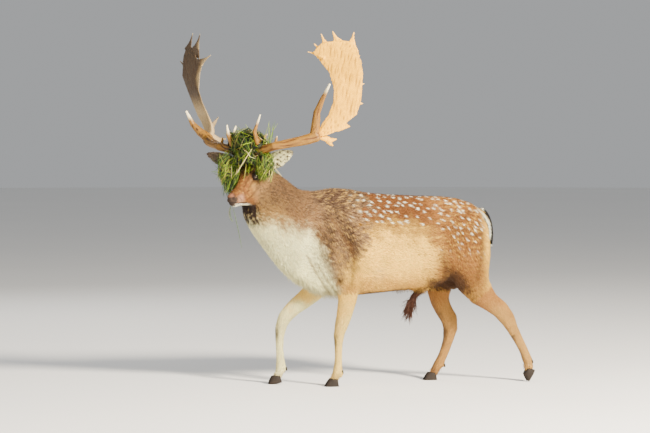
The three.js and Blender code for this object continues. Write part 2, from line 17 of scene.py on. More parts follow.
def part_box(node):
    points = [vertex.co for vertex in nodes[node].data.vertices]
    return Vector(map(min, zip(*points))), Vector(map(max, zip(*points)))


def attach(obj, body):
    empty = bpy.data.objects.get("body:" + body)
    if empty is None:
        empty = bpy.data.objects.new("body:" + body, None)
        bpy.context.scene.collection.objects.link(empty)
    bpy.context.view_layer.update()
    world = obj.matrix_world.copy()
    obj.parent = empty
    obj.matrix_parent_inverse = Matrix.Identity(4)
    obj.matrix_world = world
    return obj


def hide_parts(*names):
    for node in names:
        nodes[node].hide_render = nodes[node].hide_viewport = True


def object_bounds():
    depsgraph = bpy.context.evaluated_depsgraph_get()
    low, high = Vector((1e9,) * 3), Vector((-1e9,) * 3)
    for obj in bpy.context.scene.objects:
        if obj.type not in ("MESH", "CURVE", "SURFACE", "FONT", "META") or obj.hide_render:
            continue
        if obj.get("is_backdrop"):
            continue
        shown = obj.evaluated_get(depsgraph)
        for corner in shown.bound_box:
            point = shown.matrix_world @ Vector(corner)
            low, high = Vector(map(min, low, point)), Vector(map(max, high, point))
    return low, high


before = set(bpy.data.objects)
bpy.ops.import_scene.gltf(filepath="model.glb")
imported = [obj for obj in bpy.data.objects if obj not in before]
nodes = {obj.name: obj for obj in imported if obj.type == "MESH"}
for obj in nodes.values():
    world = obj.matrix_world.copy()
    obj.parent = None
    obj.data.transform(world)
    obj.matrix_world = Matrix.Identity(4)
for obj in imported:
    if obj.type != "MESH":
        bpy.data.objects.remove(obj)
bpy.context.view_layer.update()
UP = Vector((0, 0, 1))
MM = 0.001

# %% [markdown]
# ## Places on the animal
# A sculptor measures everything from a few landmarks. Here they are the two eyes: the line between
# them is the head's left, and with the head's pitch it gives the three axes that the whole face uses.
# The body is measured from the withers, the top of the shoulders. The buck walks towards -X, so its
# left side is at -Y.

# %% Landmarks of the head
HEAD_PITCH = math.radians(17)
EYE_RADIUS = 16 * MM
EYE_BACK, EYE_UP = 156 * MM, 60 * MM  # from the tip of the nose to the line through the eyes


def middle(node):
    low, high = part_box(node)
    return (low + high) / 2


HEAD_LEFT = (middle("eye_left") - middle("eye_right")).normalized()
HEAD_LEVEL = UP.cross(HEAD_LEFT)
HEAD_BACK = HEAD_LEVEL * math.cos(HEAD_PITCH) + UP * math.sin(HEAD_PITCH)
HEAD_UP = UP * math.cos(HEAD_PITCH) - HEAD_LEVEL * math.sin(HEAD_PITCH)
NOSE = (middle("eye_left") + middle("eye_right")) / 2 - HEAD_BACK * EYE_BACK - HEAD_UP * EYE_UP
HEAD_AXES = np.array([HEAD_BACK, HEAD_LEFT, HEAD_UP])


def head_point(back, left, up):
    """A place in the part's frame, from millimetres behind, left of and above the tip of the nose."""
    return NOSE + HEAD_BACK * back * MM + HEAD_LEFT * left * MM + HEAD_UP * up * MM


def in_head(points):
    """The other way round: millimetres back, left and up for an array of places."""
    return (points - np.array(NOSE)) @ HEAD_AXES.T / MM


BODY_LENGTH = 787.4 * MM  # from the withers to the back of the tail
WITHERS = Vector((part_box("tail")[1].x - BODY_LENGTH, middle("tail").y, 0))


def in_body(points):
    """Metres behind the withers, to the right of the middle and above the floor."""
    return points - np.array(WITHERS)


print("tip of the nose at", [round(v, 3) for v in NOSE])

# %% [markdown]
# ## Solids as raw clay
# A solid's mesh is loose triangles, so a copy of it is merged before anything else. Copies that
# belong together are swollen by a hair's breadth, which closes the gaps between them, and a voxel
# remesh then fuses them into one even net of small squares. Modelling the seams away by hand would
# take far longer, and this way follows the solids wherever they change.

# %% Helpers that make a mesh or a piece
SEAM = 0.01 * MM  # corners of loose triangles this close to each other are one corner


def solid_copy(name, swell):
    clay = bmesh.new()
    clay.from_mesh(nodes[name].data)
    bmesh.ops.remove_doubles(clay, verts=clay.verts, dist=SEAM)
    clay.normal_update()
    for vert, normal in [(vert, vert.normal.copy()) for vert in clay.verts]:
        vert.co += normal * swell
    return clay


def fired(clay, name):
    """The mesh of a bmesh, as clay keeps its shape once it is fired. The bmesh is freed."""
    mesh = bpy.data.meshes.new(name)
    clay.to_mesh(mesh)
    clay.free()
    return mesh


def new_object(name, data):
    thing = bpy.data.objects.new(name, data)
    bpy.context.scene.collection.objects.link(thing)
    return thing


def new_piece(name, mesh, material, cad_nodes=()):
    """Puts a mesh into the scene as a smooth piece that rides on the buck."""
    mesh.materials.append(material)
    mesh.polygons.foreach_set("use_smooth", np.ones(len(mesh.polygons), bool))
    piece = new_object(name, mesh)
    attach(piece, "root")
    if cad_nodes:
        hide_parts(*cad_nodes)


# %% Helpers that fuse solids
def without_crumbs(mesh):
    """Keeps the largest of a mesh's loose parts, as a remesh can leave a crumb in a narrow gap."""
    clay = bmesh.new()
    clay.from_mesh(mesh)
    unseen, parts = set(clay.verts), []
    while unseen:
        part, rim = set(), [unseen.pop()]
        while rim:
            vert = rim.pop()
            part.add(vert)
            fresh = {edge.other_vert(vert) for edge in vert.link_edges} & unseen
            unseen -= fresh
            rim += fresh
        parts.append(part)
    largest = max(parts, key=len)
    crumbs = [vert for part in parts if part is not largest for vert in part]
    bmesh.ops.delete(clay, geom=crumbs, context="VERTS")
    clay.to_mesh(mesh)
    clay.free()
    return mesh


def fused(names, voxel, swell):
    """One closed mesh of squares around several solids. `swell` gives each solid's own amount."""
    clay = bmesh.new()
    for name in names:
        shard = fired(solid_copy(name, swell(name)), "shard")
        clay.from_mesh(shard)
        bpy.data.meshes.remove(shard)
    lump = new_object("clay", fired(clay, "clay"))
    remesh = lump.modifiers.new("even squares", "REMESH")
    remesh.mode = "VOXEL"
    remesh.voxel_size = voxel
    result = bpy.data.meshes.new_from_object(lump.evaluated_get(bpy.context.evaluated_depsgraph_get()))
    bpy.data.objects.remove(lump)
    return without_crumbs(result)


def coordinates(mesh):
    flat = np.empty(len(mesh.vertices) * 3, np.float32)
    mesh.vertices.foreach_get("co", flat)
    return flat.reshape(-1, 3).astype(float)


def set_coordinates(mesh, points):
    mesh.vertices.foreach_set("co", points.astype(np.float32).ravel())
    mesh.update()


def normals_of(mesh):
    flat = np.empty(len(mesh.vertices) * 3, np.float32)
    mesh.vertices.foreach_get("normal", flat)
    return flat.reshape(-1, 3).astype(float)


def unit(vectors):
    return vectors / np.maximum(np.linalg.norm(vectors, axis=-1, keepdims=True), 1e-9)


def laid_flat(directions, normals, share=1.0):
    """Directions without their part across the surface, or without a share of it."""
    return unit(directions - share * normals * (directions * normals).sum(axis=1)[:, None])


def search_tree(mesh):
    return BVHTree.FromPolygons(coordinates(mesh).tolist(), [face.vertices[:] for face in mesh.polygons])


def limits_along(along, values, count):
    """Marks along a form, with the lowest and the highest values in the stretch round each mark."""
    marks = np.linspace(along.min(), along.max(), count)
    reach = marks[1] - marks[0]
    stretches = [values[np.abs(along - mark) <= reach] for mark in marks]
    lows = np.array([stretch.min(axis=0) for stretch in stretches])
    return marks, lows, np.array([stretch.max(axis=0) for stretch in stretches])


# %% [markdown]
# ## Smoothing by hand
# `relax` is the sculptor's smoothing brush. Each point moves towards the mean of its neighbours, again
# and again, and `give` says how freely. The same brush blends anything else that is kept per point,
# such as the direction of the hair, so it is written once and takes any array.

# %% The smoothing brush
def edge_pairs(mesh):
    flat = np.empty(len(mesh.edges) * 2, np.int32)
    mesh.edges.foreach_get("vertices", flat)
    return flat.reshape(-1, 2)


def relax(mesh, values, times, give=1.0):
    edges = edge_pairs(mesh)
    here = np.concatenate([edges[:, 0], edges[:, 1]])
    there = np.concatenate([edges[:, 1], edges[:, 0]])
    count = len(mesh.vertices)
    neighbours = np.maximum(np.bincount(here, minlength=count), 1)
    table = values.reshape(count, -1).astype(float)
    pull = 0.5 * np.broadcast_to(np.asarray(give, float), (count,))
    for _ in range(times):
        for column in table.T:
            mean = np.bincount(here, weights=column[there], minlength=count) / neighbours
            column += pull * (mean - column)
    return table.reshape(values.shape)


# %% [markdown]
# ## Which solid a point belongs to
# Coat, lie and smoothing differ from the nose to the hooves. A table gives each solid of flesh its own
# values, and each point of the skin looks up the nearest solid. `relax` then blends the values, so no
# border shows. Lengths are in millimetres.

# %% The table of the flesh
LEGS = ["fore_left", "fore_right", "hind_left", "hind_right"]


def leg_chain(leg):
    """A leg's solids from the top down, the hoof last."""
    names = ["shoulder", "forearm"] if leg.startswith("fore") else ["thigh", "gaskin"]
    return [name + "_" + leg for name in [*names, "cannon", "hoof"]]


# give of the brush, depth of the coat, length and width of a tuft, tufts on a square centimetre
BARREL = dict(give=1.0, depth=8, length=19, width=2.9, crowd=8.5)
FLESH = {
    "nose": dict(give=0.3, depth=0.4, length=5, width=1.5, crowd=0),
    "head": dict(give=0.35, depth=2.6, length=11, width=2.2, crowd=20),
    "ear_left": dict(give=0.12, depth=1.6, length=9, width=2.0, crowd=16),
    "ear_right": dict(give=0.12, depth=1.6, length=9, width=2.0, crowd=16),
    "neck_upper": dict(give=0.8, depth=9, length=21, width=2.7, crowd=10),
    "neck_lower": dict(give=1.0, depth=11, length=25, width=2.9, crowd=9),
    "trunk": BARREL,
    "tail": dict(give=0.3, depth=6, length=34, width=3.4, crowd=12),
    "sheath": dict(give=0.3, depth=3, length=20, width=3.0, crowd=12),
}
for leg in LEGS:
    upper, lower, cannon, _ = leg_chain(leg)
    FLESH[upper] = BARREL
    FLESH[lower] = dict(give=0.4, depth=4.5, length=15, width=2.4, crowd=12)
    FLESH[cannon] = dict(give=0.25, depth=2.6, length=12, width=2.6, crowd=13)
FLESH_NAMES = list(FLESH)


def flesh_tree():
    """A search tree over all solids of flesh, and the solid that each of its faces belongs to."""
    points, faces, owners = [], [], []
    for index, name in enumerate(FLESH_NAMES):
        mesh = nodes[name].data
        start = len(points)
        points += [vert.co.copy() for vert in mesh.vertices]
        faces += [[start + corner for corner in face.vertices] for face in mesh.polygons]
        owners += [index] * len(mesh.polygons)
    return BVHTree.FromPolygons(points, faces), np.array(owners)


flesh_search, flesh_owners = flesh_tree()


def owners_of(points):
    return flesh_owners[[flesh_search.find_nearest(point)[2] for point in points.tolist()]]


def from_table(owners, key):
    return np.array([FLESH[name][key] for name in FLESH_NAMES], float)[owners]


print(len(FLESH_NAMES), "solids of flesh")

# %% [markdown]
# ## The skin
# The fused clay still has the solids' flat facets. Smoothing them away also shrinks the body, so the
# mean loss over a wide patch is measured and given back: only the facets go. Then the skin sinks by the
# depth of the coat, because the solids reach to the tips of the hair. The head gets a finer net.

# %% Fuse, smooth and sink the skin
SKIN_VOXEL = 5.6 * MM
SMOOTH_ROUNDS = 130


def clay_swell(name):
    return 1.6 * MM if name.startswith("ear") else 0.4 * MM


skin = fused([*FLESH_NAMES, "eye_left", "eye_right"], SKIN_VOXEL, clay_swell)
raw = coordinates(skin)
owners = owners_of(raw)
give = relax(skin, from_table(owners, "give") ** 1.5, 12)
soft = relax(skin, raw, SMOOTH_ROUNDS, give)
set_coordinates(skin, soft)
outwards = normals_of(skin)
lost = ((raw - soft) * outwards).sum(axis=1)
regained = relax(skin, lost, 60, np.clip(give * 2, 0, 1))
sink = relax(skin, from_table(owners, "depth") * MM + (from_table(owners, "length") < 10) * 0.6 * MM, 10)
set_coordinates(skin, soft + outwards * (regained - sink)[:, None])
print(len(skin.vertices), "points on the skin")

# %% [markdown]
# ## A finer net on the face
# Lids, nostrils and the line of the mouth are smaller than the skin's squares. Dividing the whole skin
# would cost four times the faces, so only the edges round the muzzle and the eyes are divided, twice
# near the eyes, and the brush settles the new points.

# %% Divide the net on the face
SIDES = [("left", 1), ("right", -1)]
eyes = {name: np.array(middle("eye_" + name)) for name, _ in SIDES}


def distance_to(points, places):
    return np.min([np.linalg.norm(points - np.array(place), axis=1) for place in places], axis=0)


def divide(mesh, near):
    clay = bmesh.new()
    clay.from_mesh(mesh)
    clay.verts.ensure_lookup_table()
    edges = [edge for edge in clay.edges if near[edge.verts[0].index] and near[edge.verts[1].index]]
    bmesh.ops.subdivide_edges(clay, edges=edges, cuts=1, use_grid_fill=True)
    clay.to_mesh(mesh)
    clay.free()


MUZZLE = [head_point(back, 0, -10) for back in (0, 40, 80)]
MUZZLE_REACH, EYE_REACH, LID_REACH = 60 * MM, 45 * MM, 27 * MM
divide(skin, distance_to(coordinates(skin), MUZZLE) < MUZZLE_REACH)
divide(skin, distance_to(coordinates(skin), eyes.values()) < EYE_REACH)
divide(skin, distance_to(coordinates(skin), eyes.values()) < LID_REACH)
points = coordinates(skin)
fine = distance_to(points, MUZZLE) < MUZZLE_REACH + 2 * MM
fine |= distance_to(points, eyes.values()) < EYE_REACH
set_coordinates(skin, relax(skin, points, 4, fine * 0.9))
print(len(skin.vertices), "points on the skin with a finer face")

# %% [markdown]
# ## Carving
# The skin's folds are carved the way one would with a thumb or a wire loop. A dent or a swelling has a
# place, a size along each axis and a depth, and a groove follows a short path. All are in millimetres,
# and one on the left has its twin on the right.

# %% Forms and folds of the face
# middle (back, left, up), size along each, height of the swelling or depth of the dent
FACE_FORMS = [
    ((12, 0, 8), (14, 15, 8), 1.2), ((6, 0, -4), (7, 2.2, 12), -1.3),  # nose pad and its groove
    ((8, 17, 3), (5.5, 5, 4.4), -7.5), ((16, 21.5, 6), (8, 5, 2.6), -5),  # nostril and its slit
    ((12, 17, 12), (10, 6, 4), 2.0), ((14, 21, -5), (9, 5, 5), 1.6),  # the rims of the nostril
    ((24, 0, -38), (14, 15, 9), 2.2), ((42, 21, -14), (24, 9, 10), 2.4),  # chin and upper lip
    ((96, 28, -34), (6, 8, 7), -2.4),  # corner of the mouth
    ((131, 37, 41), (10, 8, 3.2), -3.4), ((150, 46, 84), (18, 12, 6), 1.8),  # tear gland, brow
    ((128, 42, 24), (26, 10, 7), 2.2), ((118, 36, -8), (30, 14, 12), -3.2),  # cheekbone, hollow under it
    ((178, 54, -44), (20, 12, 20), 2.4), ((186, 50, 60), (12, 10, 12), -2.6),  # jaw, temple
    ((120, 0, 74), (30, 11, 14), -1.6),  # dip between the brows
]
MOUTH = [(-3, -13), (12, -19), (34, -26), (60, -33), (92, -41)]  # back and up, on both cheeks
JAW_EDGE = [(0, -17), (34, -28), (60, -35), (90, -44), (126, -62)]  # white below this line
# folds on both cheeks: path in back and up, width and depth
FACE_FOLDS = [
    ([(140, 46), (116, 28), (94, 4)], 4.5, 1.7), ([(26, 8), (40, -5), (48, -18)], 4.0, 1.2),
    ([(152, 8), (130, -14), (104, -28)], 6.0, 2.0), ([(62, 30), (74, 12), (80, -8)], 3.5, 0.9),
    ([(128, 60), (104, 42), (84, 30)], 4.0, 1.1),
]


# %% Tools for carving
def bump_at(places, centre, size):
    away = (places - np.array(centre)) / np.array(size)
    return np.exp(-(away ** 2).sum(axis=1))


def distance_to_path(places, path):
    """The distance from each place to a path of straight stretches."""
    best = np.full(len(places), np.inf)
    for start, end in zip(np.array(path[:-1], float), np.array(path[1:], float)):
        along = end - start
        t = np.clip(((places - start) @ along) / (along @ along), 0, 1)
        best = np.minimum(best, np.linalg.norm(places - start - t[:, None] * along, axis=1))
    return best


def face_relief(points):
    places = in_head(points)
    relief = np.zeros(len(points))
    for centre, size, height in FACE_FORMS:
        for side in (1, -1) if centre[1] else (1,):
            relief += height * bump_at(places, (centre[0], side * centre[1], centre[2]), size)
    mouth = distance_to_path(places[:, [0, 2]], MOUTH)
    relief -= 2.4 * np.exp(-((mouth / 2.3) ** 2)) * (places[:, 0] < 98)
    for path, width, depth in FACE_FOLDS:
        off = distance_to_path(places[:, [0, 2]], path)
        relief -= depth * np.exp(-((off / width) ** 2)) * (np.abs(places[:, 1]) > 8)
    return relief * (places[:, 0] < 260)


# %% Grooves of the body
# path behind the withers and above the floor (m), side (1 left, -1 right), width and depth (mm)
BODY_GROOVES = [
    ([(-0.147, 0.602), (-0.100, 0.530), (-0.050, 0.452), (-0.012, 0.420)], 1, 7, 2.6),
    ([(-0.090, 0.560), (-0.052, 0.500), (-0.018, 0.462)], 1, 6, 2.0),
    ([(-0.030, 0.500), (0.002, 0.478), (0.000, 0.440)], 1, 6, 3.0),  # crease between breast and leg
    ([(-0.085, 0.70), (-0.075, 0.60), (-0.030, 0.52), (0.015, 0.475)], 1, 16, 4.0),  # front of shoulder
    ([(0.060, 0.66), (0.075, 0.58), (0.070, 0.50), (0.060, 0.46)], 1, 15, 4.0),  # behind the elbow
    ([(-0.020, 0.77), (0.020, 0.70), (0.060, 0.64)], 1, 12, 2.6),  # along the shoulder blade
    ([(0.490, 0.60), (0.510, 0.54), (0.520, 0.47)], 1, 18, 4.5),  # fold before the thigh
    ([(0.680, 0.76), (0.690, 0.62), (0.660, 0.48)], 1, 13, 2.8),  # between the muscles of the thigh
    ([(0.680, 0.76), (0.640, 0.62), (0.600, 0.48)], -1, 13, 2.8),
    ([(-0.110, 0.70), (-0.110, 0.60), (-0.080, 0.50)], -1, 16, 4.0),
    ([(0.040, 0.66), (0.050, 0.56), (0.030, 0.46)], -1, 15, 4.0),
]


def body_relief(points, outwards):
    relief = np.zeros(len(points))
    for path, side, width, depth in BODY_GROOVES:
        off = distance_to_path(in_body(points)[:, [0, 2]], path) / MM
        facing = np.clip(-side * outwards[:, 1] * 2, 0, 1)
        relief -= depth * np.exp(-((off / width) ** 2)) * facing
    return relief


# %% Carve the skin
points = coordinates(skin)
outwards = normals_of(skin)
relief = face_relief(points) + body_relief(points, outwards)
points = points + outwards * relief[:, None] * MM
set_coordinates(skin, points)
print("carved", round(-relief.min(), 1), "mm deep and", round(relief.max(), 1), "mm high at the most")

# %% [markdown]
# ## Eyelids
# A lid is skin that lies on the ball of the eye. The skin was fused over both balls, so the lids are
# already there, shut. They are opened along an almond: inside it the skin goes back behind the ball, and
# outside it the skin rests on the ball.

# %% Open the lids
EYE_FACES = np.array([-0.36, 0.91, 0.2])  # forwards, outwards and a little up, in the head's axes
LID_OPEN = (0.84, 0.52)  # half length and half height of the almond, as shares of the ball's radius
LID_THICK = 1.3 * MM


def eye_axes(side):
    """Out of the head, along the almond towards the nose, and up across it."""
    out = unit(EYE_FACES * (1, side, 1)) @ HEAD_AXES
    along = np.array(-HEAD_BACK) * 0.94 - np.array(HEAD_UP) * 0.34
    along = unit(along - out * (along @ out))
    return np.array([out, along, np.cross(out, along) * side])


def almond(points, name, side):
    """How far inside the almond each point lies, 0 on its edge, and its distance from the ball's centre."""
    away = points - eyes[name]
    far = np.linalg.norm(away, axis=1)
    out, along, across = ((away / far[:, None]) @ eye_axes(side).T).T
    inside = LID_OPEN[1] * (1 - (along / LID_OPEN[0]) ** 2) - np.abs(across)
    return np.where(out > 0.15, inside, -1.0), far


for name, side in SIDES:
    inside, far = almond(points, name, side)
    close = (inside > -0.9) & (far < 1.45 * EYE_RADIUS)
    rest = np.maximum(far, EYE_RADIUS + LID_THICK * np.clip(1.4 + inside * 0.6, 0.7, 1.4))
    target = np.where(inside > 0, EYE_RADIUS * 0.78, rest)
    scale = np.where(close, target / far, 1.0)
    points = eyes[name] + (points - eyes[name]) * scale[:, None]
set_coordinates(skin, points)
print("lids open")

# %% [markdown]
# ## The lie of the coat
# Hair has a direction everywhere, and a coat looks wrong as soon as it runs the wrong way. Each solid
# gets the way its hair runs: back from the nose, out along the ears, down the neck and the legs, and
# backwards and down on the barrel. The smoothing brush turns these into one field without whorls.

# %% Comb the coat
points = coordinates(skin)
outwards = normals_of(skin)
owners = owners_of(points)
LIE = {
    "trunk": Vector((1, 0, -0.3)),
    "neck_upper": middle("neck_lower") - middle("neck_upper"),
    "neck_lower": middle("neck_lower") - middle("neck_upper") - UP * 0.05,
    "tail": -UP,
    "sheath": Vector((-0.6, 0, -1)),
}
for name, side in SIDES:
    LIE["ear_" + name] = middle("ear_" + name) - head_point(212, 44 * side, 88)
for leg in LEGS:
    chain = leg_chain(leg)
    LIE[chain[0]] = Vector((0.5, 0, -1)) if leg.startswith("fore") else Vector((0.6, 0, -1))
    for upper, lower in zip(chain[1:], chain[2:]):
        LIE[upper] = middle(lower) - middle(upper)


def combed(points, owners):
    lie = np.array([LIE.get(name, HEAD_BACK) for name in FLESH_NAMES], float)[owners]
    from_nose = points - np.array(NOSE + HEAD_BACK * 0.02 - HEAD_UP * 0.01)
    on_face = in_head(points)[:, 0] < 200
    on_face &= np.isin(owners, [FLESH_NAMES.index("head"), FLESH_NAMES.index("nose")])
    lie[on_face] = from_nose[on_face]
    return unit(lie)


lie = laid_flat(relax(skin, combed(points, owners), 60), outwards)
print("combed", len(lie), "points")

# %% [markdown]
# ## Markings
# The coat's colours are worked out as functions of place, so that the skin and every tuft over it get
# the same ones. `ramp` is a soft step and `mottle` a cloudy field that frays the borders. A barrel
# coordinate runs from the belly at 0 to the back at 1, and another counts the distance down from the
# middle of the back.

# %% Coordinates for the markings
def ramp(low, high, value):
    """0 below low, 1 above high, and a soft step between. With low above high it falls instead."""
    t = np.clip((value - low) / (high - low), 0, 1)
    return t * t * (3 - 2 * t)


def mottle(points, size, seed):
    """A cloudy field about -1 to 1, whose patches are about `size` metres across."""
    dice = np.random.default_rng(seed)
    field = np.zeros(len(points))
    for _ in range(9):
        wave = unit(dice.normal(size=3)) * dice.uniform(0.6, 1.5) * math.pi / size
        field += np.sin(points @ wave + dice.uniform(0, 2 * math.pi))
    return field / 3


def blot(x, z, middle, size, slant=0.0):
    """A soft patch seen from the side: 1 in its middle, 0 well outside. It may lean back by `slant`."""
    u, v = x - middle[0], z - middle[1]
    along, across = u * math.cos(slant) + v * math.sin(slant), v * math.cos(slant) - u * math.sin(slant)
    return np.exp(-(along / size[0]) ** 2 - (across / size[1]) ** 2)


barrel_points = in_body(points)[np.isin(owners, [FLESH_NAMES.index("trunk")])]
stations = np.linspace(barrel_points[:, 0].min() + 0.02, barrel_points[:, 0].max() - 0.02, 24)
slices = [barrel_points[np.abs(barrel_points[:, 0] - x) < 0.02] for x in stations]
back_line = np.array([part[:, 2].max() for part in slices])
belly_line = np.array([part[:, 2].min() for part in slices])


def barrel_place(places):
    """Height on the barrel (0 belly to 1 back), and metres down from the middle of the back."""
    x, y, z = places.T
    back, belly = np.interp(x, stations, back_line), np.interp(x, stations, belly_line)
    down = 0.2 * np.arctan2(np.abs(y), z - (back - 0.2))
    return (z - belly) / (back - belly), down


CHROMA = 1.42  # the film-like view of Blender pales strong colours, and this makes up for it


def paint(red, green, blue):
    """A colour given as it looks on a screen, 0 to 255, as the light values that a shader mixes."""
    values = np.array([red, green, blue]) / 255
    light = np.where(values < 0.04045, values / 12.92, ((values + 0.055) / 1.055) ** 2.4)
    return np.clip(light.mean() + (light - light.mean()) * CHROMA, 0.002, 0.95)


print("barrel from", round(stations[0], 2), "to", round(stations[-1], 2), "m behind the withers")

# %% [markdown]
# ## White spots
# The spots stand in the cells of a loose grid that is laid over the back and, wider, over the haunch.
# Each cell throws its own dice: whether it holds a spot, where, how large and how slanted. On the back
# the spots are long and lean backwards, and on the haunch they are rounder.

# %% The spots
# cell (m), where the grid starts and ends along and down, share filled, half length and width (mm), slant
SPOT_GRIDS = [
    dict(cell=(0.038, 0.030), along=(0.04, 0.74), down=(0.010, 0.215),
         filled=0.8, size=(9.6, 4.7), slant=0.8),
    dict(cell=(0.037, 0.036), along=(0.47, 0.69), down=(0.215, 0.40),
         filled=0.66, size=(8.6, 5), slant=1.5),
]


def spots(x, down, left_side, grid, seed):
    """1 in the middle of a white spot and 0 outside it."""
    (along, across), (start, end), (top, bottom) = grid["cell"], grid["along"], grid["down"]
    columns, rows = int((end - start) / along) + 1, int((bottom - top) / across) + 1
    throws = np.random.default_rng(seed).random((2, columns, rows, 6))
    column, row = ((x - start) // along).astype(int), ((down - top) // across).astype(int)
    best = np.zeros(len(x))
    for i in (column - 1, column, column + 1):
        for j in (row - 1, row, row + 1):
            real = (i >= 0) & (i < columns) & (j >= 0) & (j < rows)
            throw = throws[left_side, np.clip(i, 0, columns - 1), np.clip(j, 0, rows - 1)].T
            off_x = x - start - (i + 0.2 + 0.5 * (j % 2) + 0.6 * throw[0]) * along
            off_down = down - top - (j + 0.2 + 0.6 * throw[1]) * across
            slant = grid["slant"] * (0.7 + 0.6 * throw[2])
            length = grid["size"][0] * MM * (0.65 + 0.6 * throw[3])
            width = grid["size"][1] * MM * (0.65 + 0.6 * throw[4])
            u = (off_x * np.cos(slant) + off_down * np.sin(slant)) / length
            v = (off_down * np.cos(slant) - off_x * np.sin(slant)) / width
            spot = ramp(1.35, 0.45, np.hypot(u, v)) * (throw[5] < grid["filled"]) * real
            best = np.maximum(best, spot)
    return best


# %% [markdown]
# ## Painting in glazes
# Each marking is one layer of colour laid over the last with a soft, ragged mask, as a painter would
# glaze a model: first the ground colours of the regions, then the pale underside, the dark patches and
# the spots, and the fine marks of legs, tail and face at the end. An image painted on a map would do as
# well for the skin, but functions of place also give each tuft its colour, at any fineness.

# %% Colours of the coat, and the painter's hand
BACK, HAUNCH, FLANK = paint(98, 66, 44), paint(152, 112, 78), paint(248, 202, 134)
NECK, SADDLE, CREAM = paint(142, 113, 86), paint(64, 50, 40), paint(255, 242, 204)
UMBER, BLACK, WHITE = paint(50, 33, 24), paint(22, 18, 18), paint(255, 248, 230)
LEG, FACE, GREY = paint(252, 216, 158), paint(118, 82, 57), paint(156, 144, 128)
PINK, RED = paint(214, 160, 140), paint(96, 44, 26)


def blend(under, over, share):
    return under * (1 - share) + over * share


def on(owners, *names):
    return np.isin(owners, [FLESH_NAMES.index(name) for name in names]) * 1.0


def limb_names(index):
    return [leg_chain(leg)[index] for leg in LEGS]


class Glaze:
    """Layers of colour over a ground."""

    def __init__(self, ground, count):
        self.colour = np.tile(ground, (count, 1))

    def over(self, layer, mask):
        self.colour += (layer - self.colour) * np.clip(mask, 0, 1)[:, None]


class Canvas:
    """What the painter of the body looks at: places, clouds of grain and the regions, for many points."""

    def __init__(self, places, outwards, owners):
        self.places, self.outwards = places, outwards
        self.x, self.y, self.z = places.T
        self.pepper, self.fine, self.broad = [
            mottle(places, size, seed) for size, seed in ((0.0070, 6), (0.012, 1), (0.05, 2))]
        self.ragged = 0.03 * self.fine + 0.03 * self.broad
        self.height, self.down = barrel_place(places)
        self.trunk = on(owners, "trunk")
        self.body = on(owners, "trunk", *limb_names(0))
        self.neck = on(owners, "neck_upper", "neck_lower")
        self.both = self.body + self.neck


# %% [markdown]
# ## Barrel and haunch
# The flank is a warm buff that darkens to chestnut on the back. The haunch is browner, tan at its rear edge,
# and a dark patch sits in the fold in front of the thigh. Painted shadow runs along the groin and the bottom
# of the belly.

# %% Paint the barrel and the haunch
def paint_barrel(glaze, at):
    glaze.over(FLANK, at.body)
    glaze.over(FLANK * 0.72, at.body * ramp(0.1, 1.4, at.broad + 0.4 * at.fine) * 0.6)
    brindle = ramp(0.2, 1.4, at.pepper) * (0.2 + 0.45 * ramp(0.35, 0.05, at.height))
    glaze.over(HAUNCH * 0.8, at.body * brindle)
    level = at.height + at.ragged
    glaze.over(HAUNCH * 0.75 + FLANK * 0.25, at.body * ramp(0.24, 0.02, level) * 0.85)
    glaze.over(blend(BACK, FLANK, 0.55), at.body * ramp(0.50, 0.64, level) * ramp(0.0, 0.10, at.x))
    glaze.over(BACK, at.body * ramp(0.57, 0.78, level) * ramp(0.03, 0.12, at.x))


def paint_haunch(glaze, at):
    x, z = at.x, at.z
    haunch = at.body * ramp(0.39, 0.55, x + 0.4 * at.ragged + 0.02 * at.pepper)
    haunch *= ramp(0.74, 0.67, x + 0.3 * at.ragged)
    glaze.over(HAUNCH, haunch * ramp(0.42, 0.52, z))
    glaze.over(blend(BACK, HAUNCH, 0.45), haunch * ramp(0.56, 0.68, z + 0.5 * at.ragged))
    glaze.over(UMBER, haunch * ramp(0.1, 1.2, at.pepper) * 0.7)
    glaze.over(FLANK * 0.85, haunch * ramp(-0.3, -1.4, at.pepper) * 0.7)
    glaze.over(FLANK * 0.8 + HAUNCH * 0.2, at.body * ramp(0.68, 0.73, x) * ramp(0.86, 0.78, z) * 0.9)
    glaze.over(blend(UMBER, HAUNCH, 0.6), at.body * blot(x, z, (0.59, 0.48), (0.12, 0.085), -0.6) * 0.9)
    # a dark patch in the fold before the thigh, and a second blot of painted shadow along the groin
    thigh_patch_and_groin_shadow = blot(x, z, (0.570, 0.490), (0.100, 0.040), -0.75)
    thigh_patch_and_groin_shadow += blot(x, z, (0.50, 0.460), (0.085, 0.030), -0.2)
    thigh_patch_and_groin_shadow += 0.08 * at.fine + 0.25 * at.pepper * (thigh_patch_and_groin_shadow < 0.9)
    glaze.over(UMBER * 0.9 + HAUNCH * 0.1, at.body * ramp(0.15, 1.0, thigh_patch_and_groin_shadow))
    # painted shadow along the bottom of the belly
    low = at.trunk * ramp(0.05, 0.0, at.height + 0.3 * at.ragged)
    glaze.over(UMBER, 0.85 * low * ramp(0.05, 0.16, x) * ramp(0.56, 0.50, x))


# %% [markdown]
# ## Neck, shoulder and breast
# In the rut the neck is brown, with dark hairs that stand closest along its top. A dark saddle peppered
# with pale hairs lies over the shoulder, and below a ragged line throat and breast are cream.

# %% Paint the neck, the shoulder and the breast
# behind the withers and above the floor: above this line the neck is brown, below it cream
THROAT_LINE = [(-0.46, 0.82), (-0.38, 0.76), (-0.237, 0.724), (-0.14, 0.716), (-0.085, 0.665),
               (-0.05, 0.58), (-0.01, 0.50), (0.03, 0.42)]


